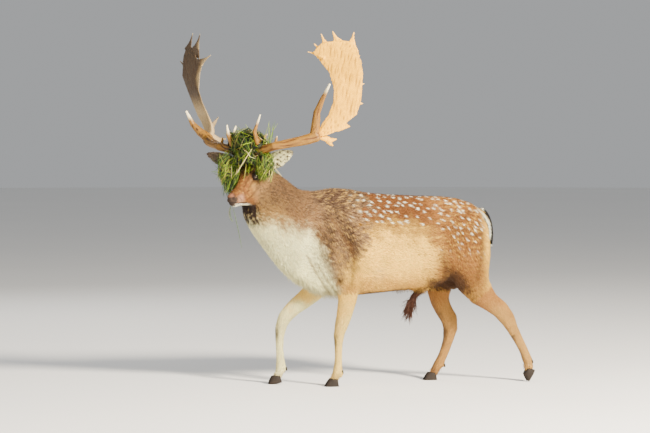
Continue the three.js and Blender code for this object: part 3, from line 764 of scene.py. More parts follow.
def paint_neck(glaze, at):
    x = at.x
    glaze.over(NECK, at.both * ramp(0.06, -0.04, x))
    glaze.over(blend(NECK, FLANK, 0.4), at.both * ramp(-0.2, -0.36, x + at.ragged) * 0.7)
    dark_top = ramp(0.72, 0.90, at.z) * ramp(0.1, 0.0, x)
    glaze.over(blend(SADDLE, NECK, 0.4), at.both * dark_top * 0.85)
    flecks = ramp(-0.1, 1.1, at.pepper + 0.3 * at.broad) * (0.45 + 0.5 * dark_top)
    glaze.over(SADDLE, at.both * flecks * ramp(0.1, 0.0, x))


def paint_shoulder(glaze, at):
    x, z = at.x, at.z
    saddle = ramp(-0.14, -0.05, x + at.ragged) * ramp(0.15, 0.085, x + 0.08 * (0.72 - z) + at.ragged)
    saddle *= ramp(0.49, 0.62, z + at.ragged) * at.both
    glaze.over(NECK * 0.5 + SADDLE * 0.35 + GREY * 0.15, saddle)
    strokes = blot(x, z, (0.066, 0.665), (0.15, 0.036), -1.25)
    strokes += blot(x, z, (-0.045, 0.665), (0.13, 0.040), 1.5) + 0.9 * ramp(0.76, 0.86, z)
    glaze.over(SADDLE, saddle * ramp(0.1, 1.2, strokes + 0.25 * at.pepper) * 0.9)
    glaze.over(UMBER, saddle * ramp(0.2, 1.2, at.pepper) * 0.8)
    glaze.over(blend(FLANK, NECK, 0.6), saddle * ramp(-0.3, -1.4, at.pepper) * 0.75)


def paint_breast(glaze, at):
    x, z = at.x, at.z
    line = np.interp(x, *np.array(THROAT_LINE).T)
    cream = ramp(0.06, -0.06, z - line + 0.016 * at.fine + 0.015 * at.broad + 0.012 * at.pepper)
    glaze.over(CREAM, at.both * cream * ramp(0.05, -0.01, x))
    grey = blot(x, z, (-0.09, 0.555), (0.11, 0.06), -0.8) * ramp(-0.3, 1.0, at.pepper)
    glaze.over(GREY * 0.55, at.both * grey * 0.9)
    # painted shade in the crease between the breast and the near fore leg
    glaze.over(UMBER, at.both * blot(x, z, (0.008, 0.494), (0.013, 0.007), -0.8) * (at.y < 0))
    # painted shade on the underside of the breast and neck, where it faces down
    under = ramp(-0.55, -0.9, at.outwards[:, 2]) * ramp(0.04, -0.02, x)
    glaze.over(GREY * 0.5, at.both * under * 0.45)
    elbow = blot(x, z, (0.19, 0.52), (0.03, 0.03)) * ramp(-0.6, 0.9, at.pepper)
    glaze.over(GREY, at.body * elbow * 0.5)


# %% [markdown]
# ## Folds, back and rump
# Shade gathers in the folds, so each groove that was carved also gets a little umber as painted shade. Then
# come the black stripe along the back, the rows of spots, and the white rump in its black horseshoe.

# %% Paint the shade in the folds, the back and the rump
def paint_fold_shade(glaze, at):
    # painted shade along each carved groove
    for path, side, width, _ in BODY_GROOVES:
        off = distance_to_path(at.places[:, [0, 2]], path) / MM
        facing = np.clip(-side * at.outwards[:, 1] * 2, 0, 1)
        glaze.over(blend(HAUNCH, UMBER, 0.7), at.both * facing * 0.5 * np.exp(-((1.2 * off / width) ** 2)))


def paint_back(glaze, at):
    x, y = at.x, at.y
    stripe = ramp(0.020, 0.010, at.down + 0.002 * at.fine) * ramp(0.10, 0.24, x)
    glaze.over(blend(UMBER, BLACK, 0.7), at.body * stripe * 0.9)
    for seed, grid in enumerate(SPOT_GRIDS):
        white = spots(x, at.down, (y < 0).astype(int), grid, 11 + seed)
        strong = ramp(0.02, 0.18, x) * ramp(0.74, 0.70, x) * ramp(0.44, 0.20, at.down)
        glaze.over(WHITE, 0.92 * at.body * white * strong)
    rump = at.body * ramp(0.45, 0.7, at.outwards[:, 0]) * ramp(0.54, 0.60, at.z) * ramp(0.66, 0.70, x)
    glaze.over(BLACK, rump * ramp(0.086, 0.074, np.abs(y) + 0.004 * at.fine))
    glaze.over(WHITE, rump * ramp(0.066, 0.056, np.abs(y) + 0.004 * at.fine))
    glaze.colour *= 1 + 0.09 * (at.both * (at.pepper + 0.5 * at.fine))[:, None]


# %% [markdown]
# ## Legs, tail and sheath
# The inner and rear sides of a fallow deer's legs are paler than the fronts, and the two pairs differ: the
# fore legs are buff to cream and the hind legs brown. The fronts and knees also carry painted shade, and the
# far fore leg is painted paler as painted sunlight. The tail is black above and white below.

# %% Paint the legs, the tail and the sheath
# ground colour of each lower leg, and how dark its front is, partly painted shade; the far fore leg's pale
# ground is painted sunlight
LEG_PAINTS = {
    "fore_left": (LEG, 0.35), "fore_right": (blend(CREAM, LEG, 0.2), 0.10),
    "hind_left": (blend(HAUNCH, LEG, 0.25), 0.8), "hind_right": (blend(HAUNCH, LEG, 0.15), 0.85),
}


def leg_front(places, owners, chain):
    """-1 at the front of a leg and 1 at its back, from the middle of its own solid."""
    x, _, z = places.T
    result = np.zeros(len(x))
    for name in chain[1:3]:
        mine = on(owners, name) > 0
        if mine.any():
            marks, lows, highs = limits_along(z[mine], x[mine], 12)
            centre = np.interp(z[mine], marks, (lows + highs) / 2)
            result[mine] = (x[mine] - centre) / np.interp(z[mine], marks, (highs - lows) / 2)
    return result


def paint_limbs(glaze, places, outwards, owners):
    z = places[:, 2]
    fine, broad = mottle(places, 0.009, 3), mottle(places, 0.04, 4)
    for leg, (ground, front_tone) in LEG_PAINTS.items():
        chain = leg_chain(leg)
        mine = on(owners, *chain[1:3])
        knee = (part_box(chain[1])[0].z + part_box(chain[2])[1].z) / 2
        glaze.over(ground, mine)
        glaze.over(ground * 0.78, mine * ramp(0.2, 1.2, broad + 0.5 * fine) * 0.6)
        # the darker front is partly the coat and partly painted shade
        front = ramp(-0.2, -0.85, leg_front(places, owners, chain) + 0.12 * fine)
        glaze.over(blend(NECK, UMBER, 0.5), mine * front * front_tone)
        # painted shade at the front of the knee
        dark = np.exp(-((z - knee + 0.02) / 0.03) ** 2) * front
        glaze.over(UMBER, mine * dark * (0.75 if leg.startswith("fore") else 0.4))
        top = ramp(knee + 0.06, knee + 0.18, z + 0.02 * broad + 0.01 * fine)
        glaze.over(HAUNCH if leg.startswith("hind") else FLANK, mine * top * 0.8)
        glaze.over(blend(HAUNCH, UMBER, 0.5), mine * ramp(0.075, 0.035, z) * 0.5)
    tail = on(owners, "tail")
    glaze.over(BLACK, tail)
    glaze.over(WHITE, tail * ramp(0.0, -0.45, outwards[:, 0] + 0.15 * fine))
    sheath = on(owners, "sheath")
    glaze.over(blend(PINK, FLANK, 0.8), sheath)
    glaze.over(UMBER * 0.85 + RED * 0.1, sheath * ramp(0.445, 0.42, z + 0.006 * fine))


# %% [markdown]
# ## The face
# The face is painted in the head's own axes, in millimetres from the tip of the nose: dark bare skin on the
# nose and the lids, brown down the front, paler cheeks, and white on the lips and under the jaw. Painted
# shade darkens the folds, the ring round the eye, the nostrils, the mouth line, the middle under the jaw and
# the throat, and a painted highlight lightens the top of the nose.

# %% Paint the cheeks, the jaw, and the painted shadow under the jaw and on the throat
def paint_cheeks(glaze, points, owners):
    back, left, up = in_head(points).T
    side = np.abs(left)
    fine, pepper = mottle(points, 0.007, 5), mottle(points, 0.004, 8)
    grain = fine + 0.5 * pepper
    head = on(owners, "head", "nose")
    buff = blend(FLANK, NECK, 0.5)
    glaze.over(FACE, head)
    glaze.over(FACE * 0.6, head * ramp(0.3, 1.4, grain) * 0.6)
    glaze.over(buff, head * ramp(-0.1, -1.2, grain) * 0.35)
    glaze.over(buff, head * ramp(80, 140, back) * ramp(28, 50, side + 4 * fine) * 0.8)
    glaze.over(NECK * 0.9, head * ramp(112, 150, back + 4 * fine) * 0.85)
    glaze.over(SADDLE, head * ramp(118, 165, back + 4 * fine) * ramp(-0.4, 1.2, fine + pepper) * 0.75)
    glaze.over(FACE * 0.5, head * ramp(20, 8, side + 3 * fine) * ramp(110, 60, back) * ramp(0, 30, up) * 0.6)
    lip = ramp(16, 30, back) * ramp(84, 50, back) * ramp(12, -4, up + 2 * fine)
    glaze.over(PINK * 0.35 + GREY * 0.35 + NECK * 0.3, head * lip * 0.8)
    # painted shade in the folds of the cheeks
    for path, width, _ in FACE_FOLDS:
        off = distance_to_path(np.column_stack([back, up]), path)
        glaze.over(UMBER, head * np.exp(-((off / width) ** 2)) * (side > 8) * 0.6)
    edge_up = np.interp(back, *np.array(JAW_EDGE).T)
    jaw = ramp(-1, 4, edge_up - up + 1.5 * fine) * ramp(136, 118, back) * ramp(8, 22, back)
    # painted shadow under the nose and the lip, in front of the white band
    glaze.over(UMBER * 0.8, head * ramp(-1, 4, edge_up - up) * ramp(22, 10, back))
    glaze.over(WHITE, head * jaw)
    # painted shadow along the middle under the jaw
    glaze.over(UMBER * 0.7 + GREY * 0.3, head * ramp(15, 6, side) * jaw * ramp(30, 50, back) * 0.8)
    # painted shadow of the head on the throat, solid under the jaw and patchy lower down
    throat_shadow = (head + on(owners, "neck_upper", "neck_lower")) * ramp(-52, -66, up) * ramp(-190, -130, up)
    patchy = fine * ramp(-64, -100, up) + ramp(-90, -180, up)
    throat_shadow *= ramp(100, 112, back) * ramp(44, 26, left + 10 * fine) * ramp(1.5, 0.3, patchy)
    glaze.over(blend(BLACK, UMBER, 0.5), throat_shadow)


# %% Paint the lids, the nose and the mouth
def paint_bare_skin(glaze, points, owners):
    back, left, up = in_head(points).T
    side = np.abs(left)
    fine = mottle(points, 0.007, 5)
    head = on(owners, "head", "nose")
    rim = np.array([EYE_BACK, 51 * MM, EYE_UP]) / MM
    around = np.sqrt(((back - rim[0]) / 30) ** 2 + ((up - rim[2]) / 22) ** 2 + ((side - rim[1]) / 26) ** 2)
    # painted shade round the eye, under the overhanging grass; the dark lids follow
    glaze.over(blend(FACE, UMBER, 0.6), head * ramp(1.5, 0.9, around + 0.1 * fine) * 0.7)
    glaze.over(blend(BLACK, UMBER, 0.4), head * ramp(1.0, 0.7, around))
    nose = np.hypot(side / 29, (up + 3) / 23)
    bare = ramp(34, 24, back + 6 * nose ** 2 + 2 * fine) * ramp(-27, -20, up) * ramp(1.25, 1.0, nose)
    glaze.over(BLACK * 0.6 + UMBER * 0.4 + GREY * 0.04, head * bare)
    # a painted highlight on the top of the bare nose
    glaze.over(PINK * 0.35 + FACE * 0.4, head * bare * ramp(8, 15, up) * 0.6)
    mirrored = np.column_stack([back, side, up])
    holes = bump_at(mirrored, (8, 17, 3), (6, 6, 5)) + bump_at(mirrored, (16, 21.5, 6), (8, 6, 3))
    # painted shade inside the nostrils
    glaze.over(BLACK * 0.5, head * ramp(0.25, 0.6, holes))
    mouth = distance_to_path(np.column_stack([back, up]), MOUTH)
    # painted shade along the line of the mouth
    glaze.over(BLACK, head * ramp(3.0, 1.4, mouth) * (back < 98))


# %% Paint the ears
def ear_ends(name):
    """The root and the tip of an ear, as the ends of its solid's longest axis."""
    corners = coordinates(nodes["ear_" + name].data)
    along = corners @ np.array(LIE["ear_" + name].normalized())
    return corners[along.argmin()], corners[along.argmax()]


def ear_face(name):
    """The way the hollow of an ear looks: forwards, and square to the ear."""
    run = unit(np.subtract(*ear_ends(name)[::-1]))
    ahead = np.array(-HEAD_BACK)
    return unit(ahead - run * (ahead @ run))


def paint_ears(glaze, points, outwards, owners):
    pale = {"left": blend(GREY, CREAM, 0.8), "right": UMBER * 0.6 + GREY * 0.25}  # the left hollow is clean and pale, the right one is painted dark as painted shade
    for name, _ in SIDES:
        mine = on(owners, "ear_" + name)
        facing = outwards @ ear_face(name)
        inner = ramp(-0.1, 0.45, facing)
        glaze.over(blend(NECK, SADDLE, 0.5), mine)
        glaze.over(UMBER * 0.7 + GREY * 0.15, mine * inner)
        # on the right ear this lays painted shade over the hollow
        glaze.over(pale[name], mine * inner * ramp(0.9, 0.2, mottle(points, 0.012, 9)))
        root, tip = ear_ends(name)
        along = (points - root) @ unit(tip - root) / np.linalg.norm(tip - root)
        glaze.over(UMBER, mine * ramp(0.84, 0.97, along) * 0.8)
        glaze.over(UMBER, mine * ramp(0.40, 0.15, np.abs(facing)) * ramp(0.2, 0.5, along) * 0.8)
        glaze.over(CREAM, mine * ramp(0.35, 0.1, along) * 0.5)


# %% Paint the skin
def painted(points, outwards, owners):
    places = in_body(points)
    glaze = Glaze(HAUNCH, len(points))
    canvas = Canvas(places, outwards, owners)
    for paint_part in (paint_barrel, paint_haunch, paint_neck, paint_shoulder, paint_breast,
                       paint_fold_shade, paint_back):
        paint_part(glaze, canvas)
    paint_limbs(glaze, places, outwards, owners)
    paint_cheeks(glaze, points, owners)
    paint_bare_skin(glaze, points, owners)
    paint_ears(glaze, points, outwards, owners)
    return glaze.colour


colour = painted(points, outwards, owners)
print("painted", len(colour), "points")

# %% [markdown]
# ## A map of the skin
# A UV map flattens a surface, as a hide is laid out after it is taken off. Cutting the hide by hand
# gives the least stretch, but legs, neck and barrel are all tubes, so each is slit along one line and
# unrolled: one coordinate runs round the tube and one along it. Each tube gets its own cell of the map.

# %% Unroll the skin
# solids of each tube, the way it runs, and its cell of the map: left, low, width and height
TUBES = {
    "barrel": (["trunk", *(leg_chain(leg)[0] for leg in LEGS)], (1, 0, 0), (0.01, 0.50, 0.98, 0.49)),
    "neck": (["neck_upper", "neck_lower"], LIE["neck_lower"], (0.01, 0.22, 0.34, 0.26)),
    "head": (["head", "nose"], HEAD_BACK, (0.37, 0.22, 0.34, 0.26)),
    "tail": (["tail"], (0, 0, 1), (0.73, 0.36, 0.12, 0.12)),
    "sheath": (["sheath"], (0, 0, 1), (0.87, 0.36, 0.12, 0.12)),
    "left ear": (["ear_left"], LIE["ear_left"], (0.73, 0.22, 0.12, 0.12)),
    "right ear": (["ear_right"], LIE["ear_right"], (0.87, 0.22, 0.12, 0.12)),
}
for index, leg in enumerate(LEGS):
    TUBES[leg] = (leg_chain(leg)[1:3], (0, 0, 1), (0.01 + 0.25 * index, 0.01, 0.23, 0.19))


def round_and_along(points, axis, bins=14):
    """Turns round a tube's own middle line, and metres along its axis."""
    axis = Vector(axis).normalized()
    across = axis.orthogonal().normalized()
    high = axis.cross(across)
    along = points @ np.array(axis)
    marks, lows, highs = limits_along(along, points, bins)
    centre = np.column_stack([np.interp(along, marks, column) for column in ((lows + highs) / 2).T])
    off = points - centre
    turn = np.arctan2(off @ np.array(high), off @ np.array(across)) / (2 * math.pi) + 0.5
    return turn, along


def loop_table(mesh, key, size=1, kind=np.int32):
    flat = np.empty(len(mesh.loops) * size, kind)
    mesh.loops.foreach_get(key, flat)
    return flat.reshape(-1, size) if size > 1 else flat


def unroll(mesh, owners, tubes):
    """A place on the map for each corner of each face."""
    corner_point = loop_table(mesh, "vertex_index")
    starts = np.empty(len(mesh.polygons), np.int32)
    mesh.polygons.foreach_get("loop_start", starts)
    totals = np.diff(np.append(starts, len(corner_point)))
    first_corner = np.repeat(starts, totals)
    face_owner = owners[corner_point[first_corner]]
    places = np.zeros((len(corner_point), 2))
    points = coordinates(mesh)
    for names, axis, (left, low, width, height) in tubes.values():
        mine = np.isin(face_owner, [FLESH_NAMES.index(name) for name in names])
        turn, along = np.zeros(len(mine)), np.zeros(len(mine))
        turn[mine], along[mine] = round_and_along(points[corner_point[mine]], axis)
        turn += np.round(turn[first_corner] - turn)
        span = along[mine].max() - along[mine].min()
        places[mine, 0] = left + width * (0.02 + 0.96 * turn[mine])
        places[mine, 1] = low + height * (along[mine] - along[mine].min()) / span
    return places


def add_map(mesh, places):
    layer = mesh.uv_layers.new(name="OFBake")
    layer.uv.foreach_set("vector", np.clip(places, 0, 1).astype(np.float32).ravel())


skin_map = unroll(skin, owners, TUBES)
add_map(skin, skin_map)
print("unrolled", len(TUBES), "tubes")

# %% [markdown]
# ## Tufts
# Hair can be grown as particles or curves, but then it isn't a shape that can be cut, printed or
# exported. Here each tuft is a closed sliver with three sides: a ball with three segments round, pulled
# out to a point at both ends. Many thousands of them are laid out as arrays, each at a root on the skin,
# along the lie and leaning up until its tip reaches the outside of the coat.

# %% One tuft, and roots for many
HALF_SIDE = math.sin(math.radians(60))  # of the triangle in a ball of radius 1, whose base is at -1/2
BELLY_SHIFT = 1.25  # above 1 the thickest place moves towards the root


def sliver(rings):
    """Points as across, along and up, and the triangles of one closed tuft."""
    clay = bmesh.new()
    bmesh.ops.create_uvsphere(clay, u_segments=3, v_segments=rings + 1, radius=1)
    bmesh.ops.triangulate(clay, faces=clay.faces)
    ball = np.array([vert.co[:] for vert in clay.verts])
    faces = np.array([[vert.index for vert in face.verts] for face in clay.faces])
    clay.free()
    along = ((ball[:, 2] + 1) / 2) ** BELLY_SHIFT
    return np.column_stack([ball[:, 1] / HALF_SIDE, along, (ball[:, 0] + 0.5) / 1.5]), faces


SLIVER, LONG_SLIVER = sliver(1), sliver(3)


def scatter(mesh, crowd, seed):
    """Roots spread evenly over a mesh: the corner loops of each root's triangle, and its weights."""
    mesh.calc_loop_triangles()
    flat = np.empty(len(mesh.loop_triangles) * 3, np.int32)
    mesh.loop_triangles.foreach_get("loops", flat)
    loops = flat.reshape(-1, 3)
    corners = loop_table(mesh, "vertex_index")[loops]
    a, b, c = coordinates(mesh)[corners].transpose(1, 0, 2)
    square_cm = 0.5e4 * np.linalg.norm(np.cross(b - a, c - a), axis=1)
    total = np.cumsum(square_cm * crowd[corners].mean(axis=1))
    dice = np.random.default_rng(seed)
    picked = np.searchsorted(total, np.arange(dice.random(), total[-1], 1.0))
    s, t = dice.random((2, len(picked)))
    folded = s + t > 1
    s[folded], t[folded] = 1 - s[folded], 1 - t[folded]
    return loops[picked], corners[picked], np.column_stack([1 - s - t, s, t])


def at_roots(values, corners, weights):
    picked = values[corners]
    return (picked * weights.reshape(*weights.shape, *[1] * (picked.ndim - 2))).sum(axis=1)


# %% [markdown]
# ## Laying the coat
# `lay_tufts` puts one copy of the sliver at each root. The tip of a straight tuft would leave a round
# limb, so each tip is set over the nearest place on the skin, and the middle follows it.

# %% Many copies of a sliver as one mesh
ROOT_DEPTH = 0.6 * MM  # how far a root is pushed into the skin
PATCH = 0.0015  # half the width of a tuft's patch, as a share of the map
skin_search = search_tree(skin)


def triangle_mesh(name, points, faces):
    mesh = bpy.data.meshes.new(name)
    mesh.vertices.add(len(points))
    mesh.vertices.foreach_set("co", points.astype(np.float32).ravel())
    mesh.loops.add(faces.size)
    mesh.loops.foreach_set("vertex_index", faces.astype(np.int32).ravel())
    mesh.polygons.add(len(faces))
    mesh.polygons.foreach_set("loop_start", np.arange(0, faces.size, 3, dtype=np.int32))
    mesh.update(calc_edges=True)
    return mesh


def add_colours(mesh, name, colours):
    layer = mesh.attributes.new(name, "FLOAT_COLOR", "POINT")
    with_alpha = np.column_stack([colours, np.ones(len(colours))])
    layer.data.foreach_set("color", with_alpha.astype(np.float32).ravel())


def copies_of(name, faces, points):
    """One mesh from many copies of a sliver, each with its own places for the sliver's points."""
    count, size, _ = points.shape
    all_faces = (faces[None] + np.arange(count)[:, None, None] * size).reshape(-1, 3)
    return triangle_mesh(name, points.reshape(-1, 3), all_faces), all_faces


# %% Lay tufts
def lay_tufts(name, template, roots, seed):
    """`roots` has arrays for place, outwards, lie, length, width, depth, colour and map, or also tip."""
    shape, faces = template
    count = len(roots["place"])
    dice = np.random.default_rng(seed)
    turn = dice.normal(0, 0.16, count)
    side = np.cross(roots["lie"], roots["outwards"])
    lie = unit(roots["lie"] * np.cos(turn)[:, None] + side * np.sin(turn)[:, None])
    side = np.cross(lie, roots["outwards"])
    length = (roots["length"] * dice.uniform(0.7, 1.15, count))[:, None]
    half_width = (roots["width"] * dice.uniform(0.35, 0.65, count))[:, None]
    rise = (roots["depth"] * dice.uniform(0.45, 1.0, count))[:, None]
    straight_tip = roots["place"] + lie * length
    if "tip" in roots:
        tip = roots["tip"]
    else:
        found = [skin_search.find_nearest(tip)[:2] for tip in straight_tip.tolist()]
        tip = np.array([place + normal * height
                        for (place, normal), height in zip(found, rise[:, 0].tolist())])
    bend = tip - straight_tip
    across, along, up = (column[None, :, None] for column in shape.T)
    points = roots["place"][:, None] - roots["outwards"][:, None] * ROOT_DEPTH * (1 - along)
    points = points + lie[:, None] * length[:, None] * along
    points += bend[:, None] * (0.55 * along + 0.45 * along ** 2)
    points += side[:, None] * half_width[:, None] * across
    points += roots["outwards"][:, None] * half_width[:, None] * 0.55 * up * (4 * along * (1 - along))
    mesh, all_faces = copies_of(name, faces, points)
    tone = dice.normal(1.0, 0.10, count)[:, None, None] * (0.86 + 0.24 * along)
    warm = 1 + dice.normal(0, 0.03, (count, 1, 1)) * np.array([1, 0, -1])
    shades = np.clip(roots["colour"][:, None] * tone * warm, 0, 1)
    add_colours(mesh, "coat", shades.reshape(-1, 3))
    strand = np.column_stack([np.broadcast_to(column, (count, len(shape))).ravel() for column in (
        shape[:, 0], shape[:, 1], dice.random((count, 1)))])
    add_colours(mesh, "strand", strand)
    patch = (roots["map"][:, None] + (shape[:, :2] * (1, 2) - (0, 1)) * PATCH).reshape(-1, 2)
    add_map(mesh, patch[all_faces.ravel()])
    return mesh


# %% [markdown]
# ## Roots over the whole skin
# A tuft's length, width and depth come from the table and are blended, so that the hair grows shorter
# bit by bit towards the face and the feet. Each root also takes its colour and its place on the map.

# %% Set the roots
crowd = relax(skin, from_table(owners, "crowd"), 4)
loops, corners, weights = scatter(skin, crowd, seed=5)
place = at_roots(points, corners, weights)
root_outwards = unit(at_roots(outwards, corners, weights))
root_owner = owners[corners[:, 0]]
root_lie = laid_flat(at_roots(lie, corners, weights), root_outwards)
smooth_table = {key: relax(skin, from_table(owners, key), 10) for key in ("length", "width", "depth")}
roots = dict(
    place=place, outwards=root_outwards, lie=root_lie, owner=root_owner,
    colour=painted(place, root_outwards, root_owner), map=at_roots(skin_map, loops, weights),
    **{key: at_roots(table, corners, weights) * MM for key, table in smooth_table.items()})
print(len(place), "tufts")

# %% [markdown]
# ## Shader maths as Python
# A material in Blender is a graph of nodes, and a long sum in it is hard to read. `Shade` wraps one
# output of the graph: plain arithmetic on it adds Math nodes, and `make` adds any other node from its
# type, its settings and what goes into its sockets.

# %% The shader helper
class Shade:
    def __init__(self, tree, socket=None):
        self.tree, self.socket = tree, socket

    def make(self, kind, settings=None, inputs=None, output=0):
        node = self.tree.nodes.new(kind)
        for name, value in (settings or {}).items():
            setattr(node, name, value)
        for name, value in (inputs or {}).items():
            if isinstance(value, Shade):
                self.tree.links.new(value.socket, node.inputs[name])
            else:
                node.inputs[name].default_value = value
        return Shade(self.tree, node.outputs[output])

    def maths(self, operation, *values):
        return self.make("ShaderNodeMath", {"operation": operation}, dict(enumerate(values)))

    def __add__(self, other):
        return self.maths("ADD", self, other)

    def __sub__(self, other):
        return self.maths("SUBTRACT", self, other)

    def __mul__(self, other):
        return self.maths("MULTIPLY", self, other)

    def mix(self, factor, under, over, way="MIX"):
        """One colour over another. Each is a Shade or three light values."""
        under, over = [side if isinstance(side, Shade) else (*side, 1) for side in (under, over)]
        settings = {"data_type": "RGBA", "blend_type": way}
        return self.make("ShaderNodeMix", settings, {0: factor, 6: under, 7: over}, output=2)

    def spread(self, low, high, to_low, to_high):
        """Stretches the values between low and high to another range."""
        return self.make("ShaderNodeMapRange", {}, {
            "Value": self, "From Min": low, "From Max": high, "To Min": to_low, "To Max": to_high})

    def attribute(self, name):
        return self.make("ShaderNodeAttribute", {"attribute_name": name})

    def channels(self):
        return [self.make("ShaderNodeSeparateColor", {}, {"Color": self}, output=k) for k in range(3)]


# %% Helpers for materials
def new_material(name, varying, **fixed):
    """`varying` gets a Shade and returns what changes over the surface, `fixed` is set on the sockets."""
    material = bpy.data.materials.new(name)
    material.use_nodes = True
    tree = material.node_tree
    shader = tree.nodes["Principled BSDF"]
    for socket, value in fixed.items():
        shader.inputs[socket.replace("_", " ").title().replace("Ior", "IOR")].default_value = value
    for socket, value in varying(Shade(tree)).items():
        tree.links.new(value.socket, shader.inputs[socket])
    return material


def object_place(shade):
    """The fourth output of Texture Coordinate, Object."""
    return shade.make("ShaderNodeTexCoord", output=3)


def noise(shade, scale, detail=3, vector=None):
    where = vector or object_place(shade)
    return shade.make("ShaderNodeTexNoise", {}, {"Vector": where, "Scale": scale, "Detail": detail})


def bumped(shade, height, distance, strength=0.6):
    return shade.make("ShaderNodeBump", {}, {"Height": height, "Distance": distance, "Strength": strength})


# %% [markdown]
# ## The skin's own look
# Between the tufts the skin shows, so it has the same markings and a fine grain of short hair, which
# darkens the colour a little and stands up as bump.

# %% Dress the skin
def skin_look(shade):
    grain = noise(shade, 420)
    base = shade.mix(0.5, shade.attribute("coat"), grain.spread(0, 1, 0.75, 1.15), "MULTIPLY")
    return {"Base Color": base, "Normal": bumped(shade, grain, 1.2 * MM)}


skin_material = new_material("short coat", skin_look, roughness=0.85, specular_ior_level=0.25)
add_colours(skin, "coat", colour)
skin.name = "skin"
new_piece("skin", skin, skin_material, FLESH_NAMES)
print("skin in place")

# %% [markdown]
# ## The coat
# The coat goes on in pieces by region, so that each stays light enough to edit. All share one material:
# the colour comes from each tuft's own attribute, and fine streaks run along it like single hairs.

# %% Put on the coat
def coat_look(shade):
    along_hair = shade.make("ShaderNodeVectorMath", {"operation": "MULTIPLY"}, {
        0: shade.attribute("strand"), 1: (3.2, 0.7, 90.0)})
    streaks = noise(shade, 1.0, 2, along_hair)
    tone = streaks.spread(0.3, 0.7, 0.80, 1.18)
    base = shade.mix(1.0, shade.attribute("coat"), tone, "MULTIPLY")
    return {"Base Color": base, "Normal": bumped(shade, streaks, 0.4 * MM)}


coat_material = new_material("coat hair", coat_look, roughness=0.62, specular_ior_level=0.3)
REGIONS = {
    "head": ["head", "nose", "ear_left", "ear_right"],
    "neck": ["neck_upper", "neck_lower"],
    "barrel": ["trunk", *limb_names(0)],
    "fore_legs": [*limb_names(1)[:2], *limb_names(2)[:2]],
    "hind_legs": [*limb_names(1)[2:], *limb_names(2)[2:]],
    "tail": ["tail", "sheath"],
}
MOST_TUFTS = 33000  # of six triangles each


def coat_pieces():
    for region, names in REGIONS.items():
        mine = np.flatnonzero(on(roots["owner"], *names))
        share = max(1, math.ceil(len(mine) / MOST_TUFTS))
        order = mine[np.argsort(roots["place"][mine, 0])]
        for number, part in enumerate(np.array_split(order, share)):
            yield region + ("_" + str(number + 1) if share > 1 else ""), names, part


for seed, (name, names, part) in enumerate(coat_pieces()):
    mesh = lay_tufts("coat_" + name, SLIVER, {key: value[part] for key, value in roots.items()}, 100 + seed)
    new_piece("coat_" + name, mesh, coat_material)
    print("coat_" + name, len(mesh.polygons), "triangles")

# %% [markdown]
# ## Long hair
# Where hair hangs clear of the body, at the brush of the sheath, along the breast, in the ears and at
# the tail, a longer sliver is used and its tip is free: it falls, with its own spread, from the root.

# %% Hang the long hair
def hang(name, where, count, reach, width, fall, spread, seed):
    """`where` picks the roots, `reach` is the length in millimetres and `fall` the way the hair hangs."""
    dice = np.random.default_rng(seed)
    chosen = dice.permutation(np.flatnonzero(where))[:count]
    picked = {key: value[chosen] for key, value in roots.items()}
    far = dice.uniform(0.65, 1.1, len(chosen)) * reach * MM
    away = unit(np.array(fall) + dice.normal(0, spread, (len(chosen), 3)))
    picked["tip"] = picked["place"] + away * far[:, None]
    picked["length"], picked["width"] = 0.8 * far, np.full(len(chosen), width * MM)
    mesh = lay_tufts("hair_" + name, LONG_SLIVER, picked, seed)
    new_piece("hair_" + name, mesh, coat_material)
    print("hair_" + name, len(mesh.polygons), "triangles")


# %% Hang it where it grows
root_x, _, root_z = in_body(roots["place"]).T
looks_up = roots["outwards"][:, 2]


def grows_on(*names):
    return on(roots["owner"], *names) > 0


sheath_middle = np.median(root_z[grows_on("sheath")])
hang("sheath", grows_on("sheath") & (root_z < sheath_middle), 300, 84, 3.0,
     (-0.35, -0.15, -1), 0.26, 71)
hang("sheath_root", grows_on("sheath") & (root_z >= sheath_middle), 500, 20, 2.2,
     (-0.5, -0.1, -0.7), 0.5, 78)
breast = grows_on("neck_lower", "trunk", *limb_names(0)) & (root_x > -0.30) & (root_x < 0.03)
hang("breast", breast & (looks_up < -0.45) & (root_z < 0.66), 1800, 34, 2.0, (0.5, 0, -1), 0.22, 72)
hang("tail", grows_on("tail"), 500, 24, 1.8, (0.12, 0, -1), 0.14, 73)
belly = grows_on("trunk") & (root_x > 0.3) & (root_x < 0.56) & (looks_up < -0.5)
hang("belly", belly, 900, 24, 1.8, (0.4, 0, -1), 0.25, 74)
CORONET = 22 * MM  # height above the hoof's top up to which the hair of the foot hangs over it
for leg in LEGS:
    low = grows_on(leg_chain(leg)[2]) & (roots["place"][:, 2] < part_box("hoof_" + leg)[1].z + CORONET)
    hang("coronet_" + leg, low, 340, 19, 2.6, (-0.55, 0, -1), 0.24, 80)
for name, side in SIDES:
    hollow = grows_on("ear_" + name) & (roots["outwards"] @ ear_face(name) > 0.3)
    hang("ear_" + name, hollow, 420, 15, 1.3,
         ear_face(name) * 0.5 + np.array(LIE["ear_" + name].normalized()), 0.28, 75 + side)

# %% [markdown]
# ## Antlers
# An antler is bone. Each of its solids is fused into one shape, the facets are brushed away, and then
# furrows are pressed in along the way it grew, as blood vessels leave them under the velvet. A light
# brush measures how sharply each place is curved: sharp points are spared, and rubbed pale at the tip.

# %% Fuse an antler and brush its facets away
ANTLER_VOXEL = 2.3 * MM
# depth of the furrows in millimetres, and how dark they are
FURROWS = {"beam": (1.8, 0.95), "brow_tine": (0.9, 0.6), "trez_tine": (0.9, 0.7), "palm": (0.7, 0.36)}
TINES, PALM = (1, 2), 3  # their places in the table above


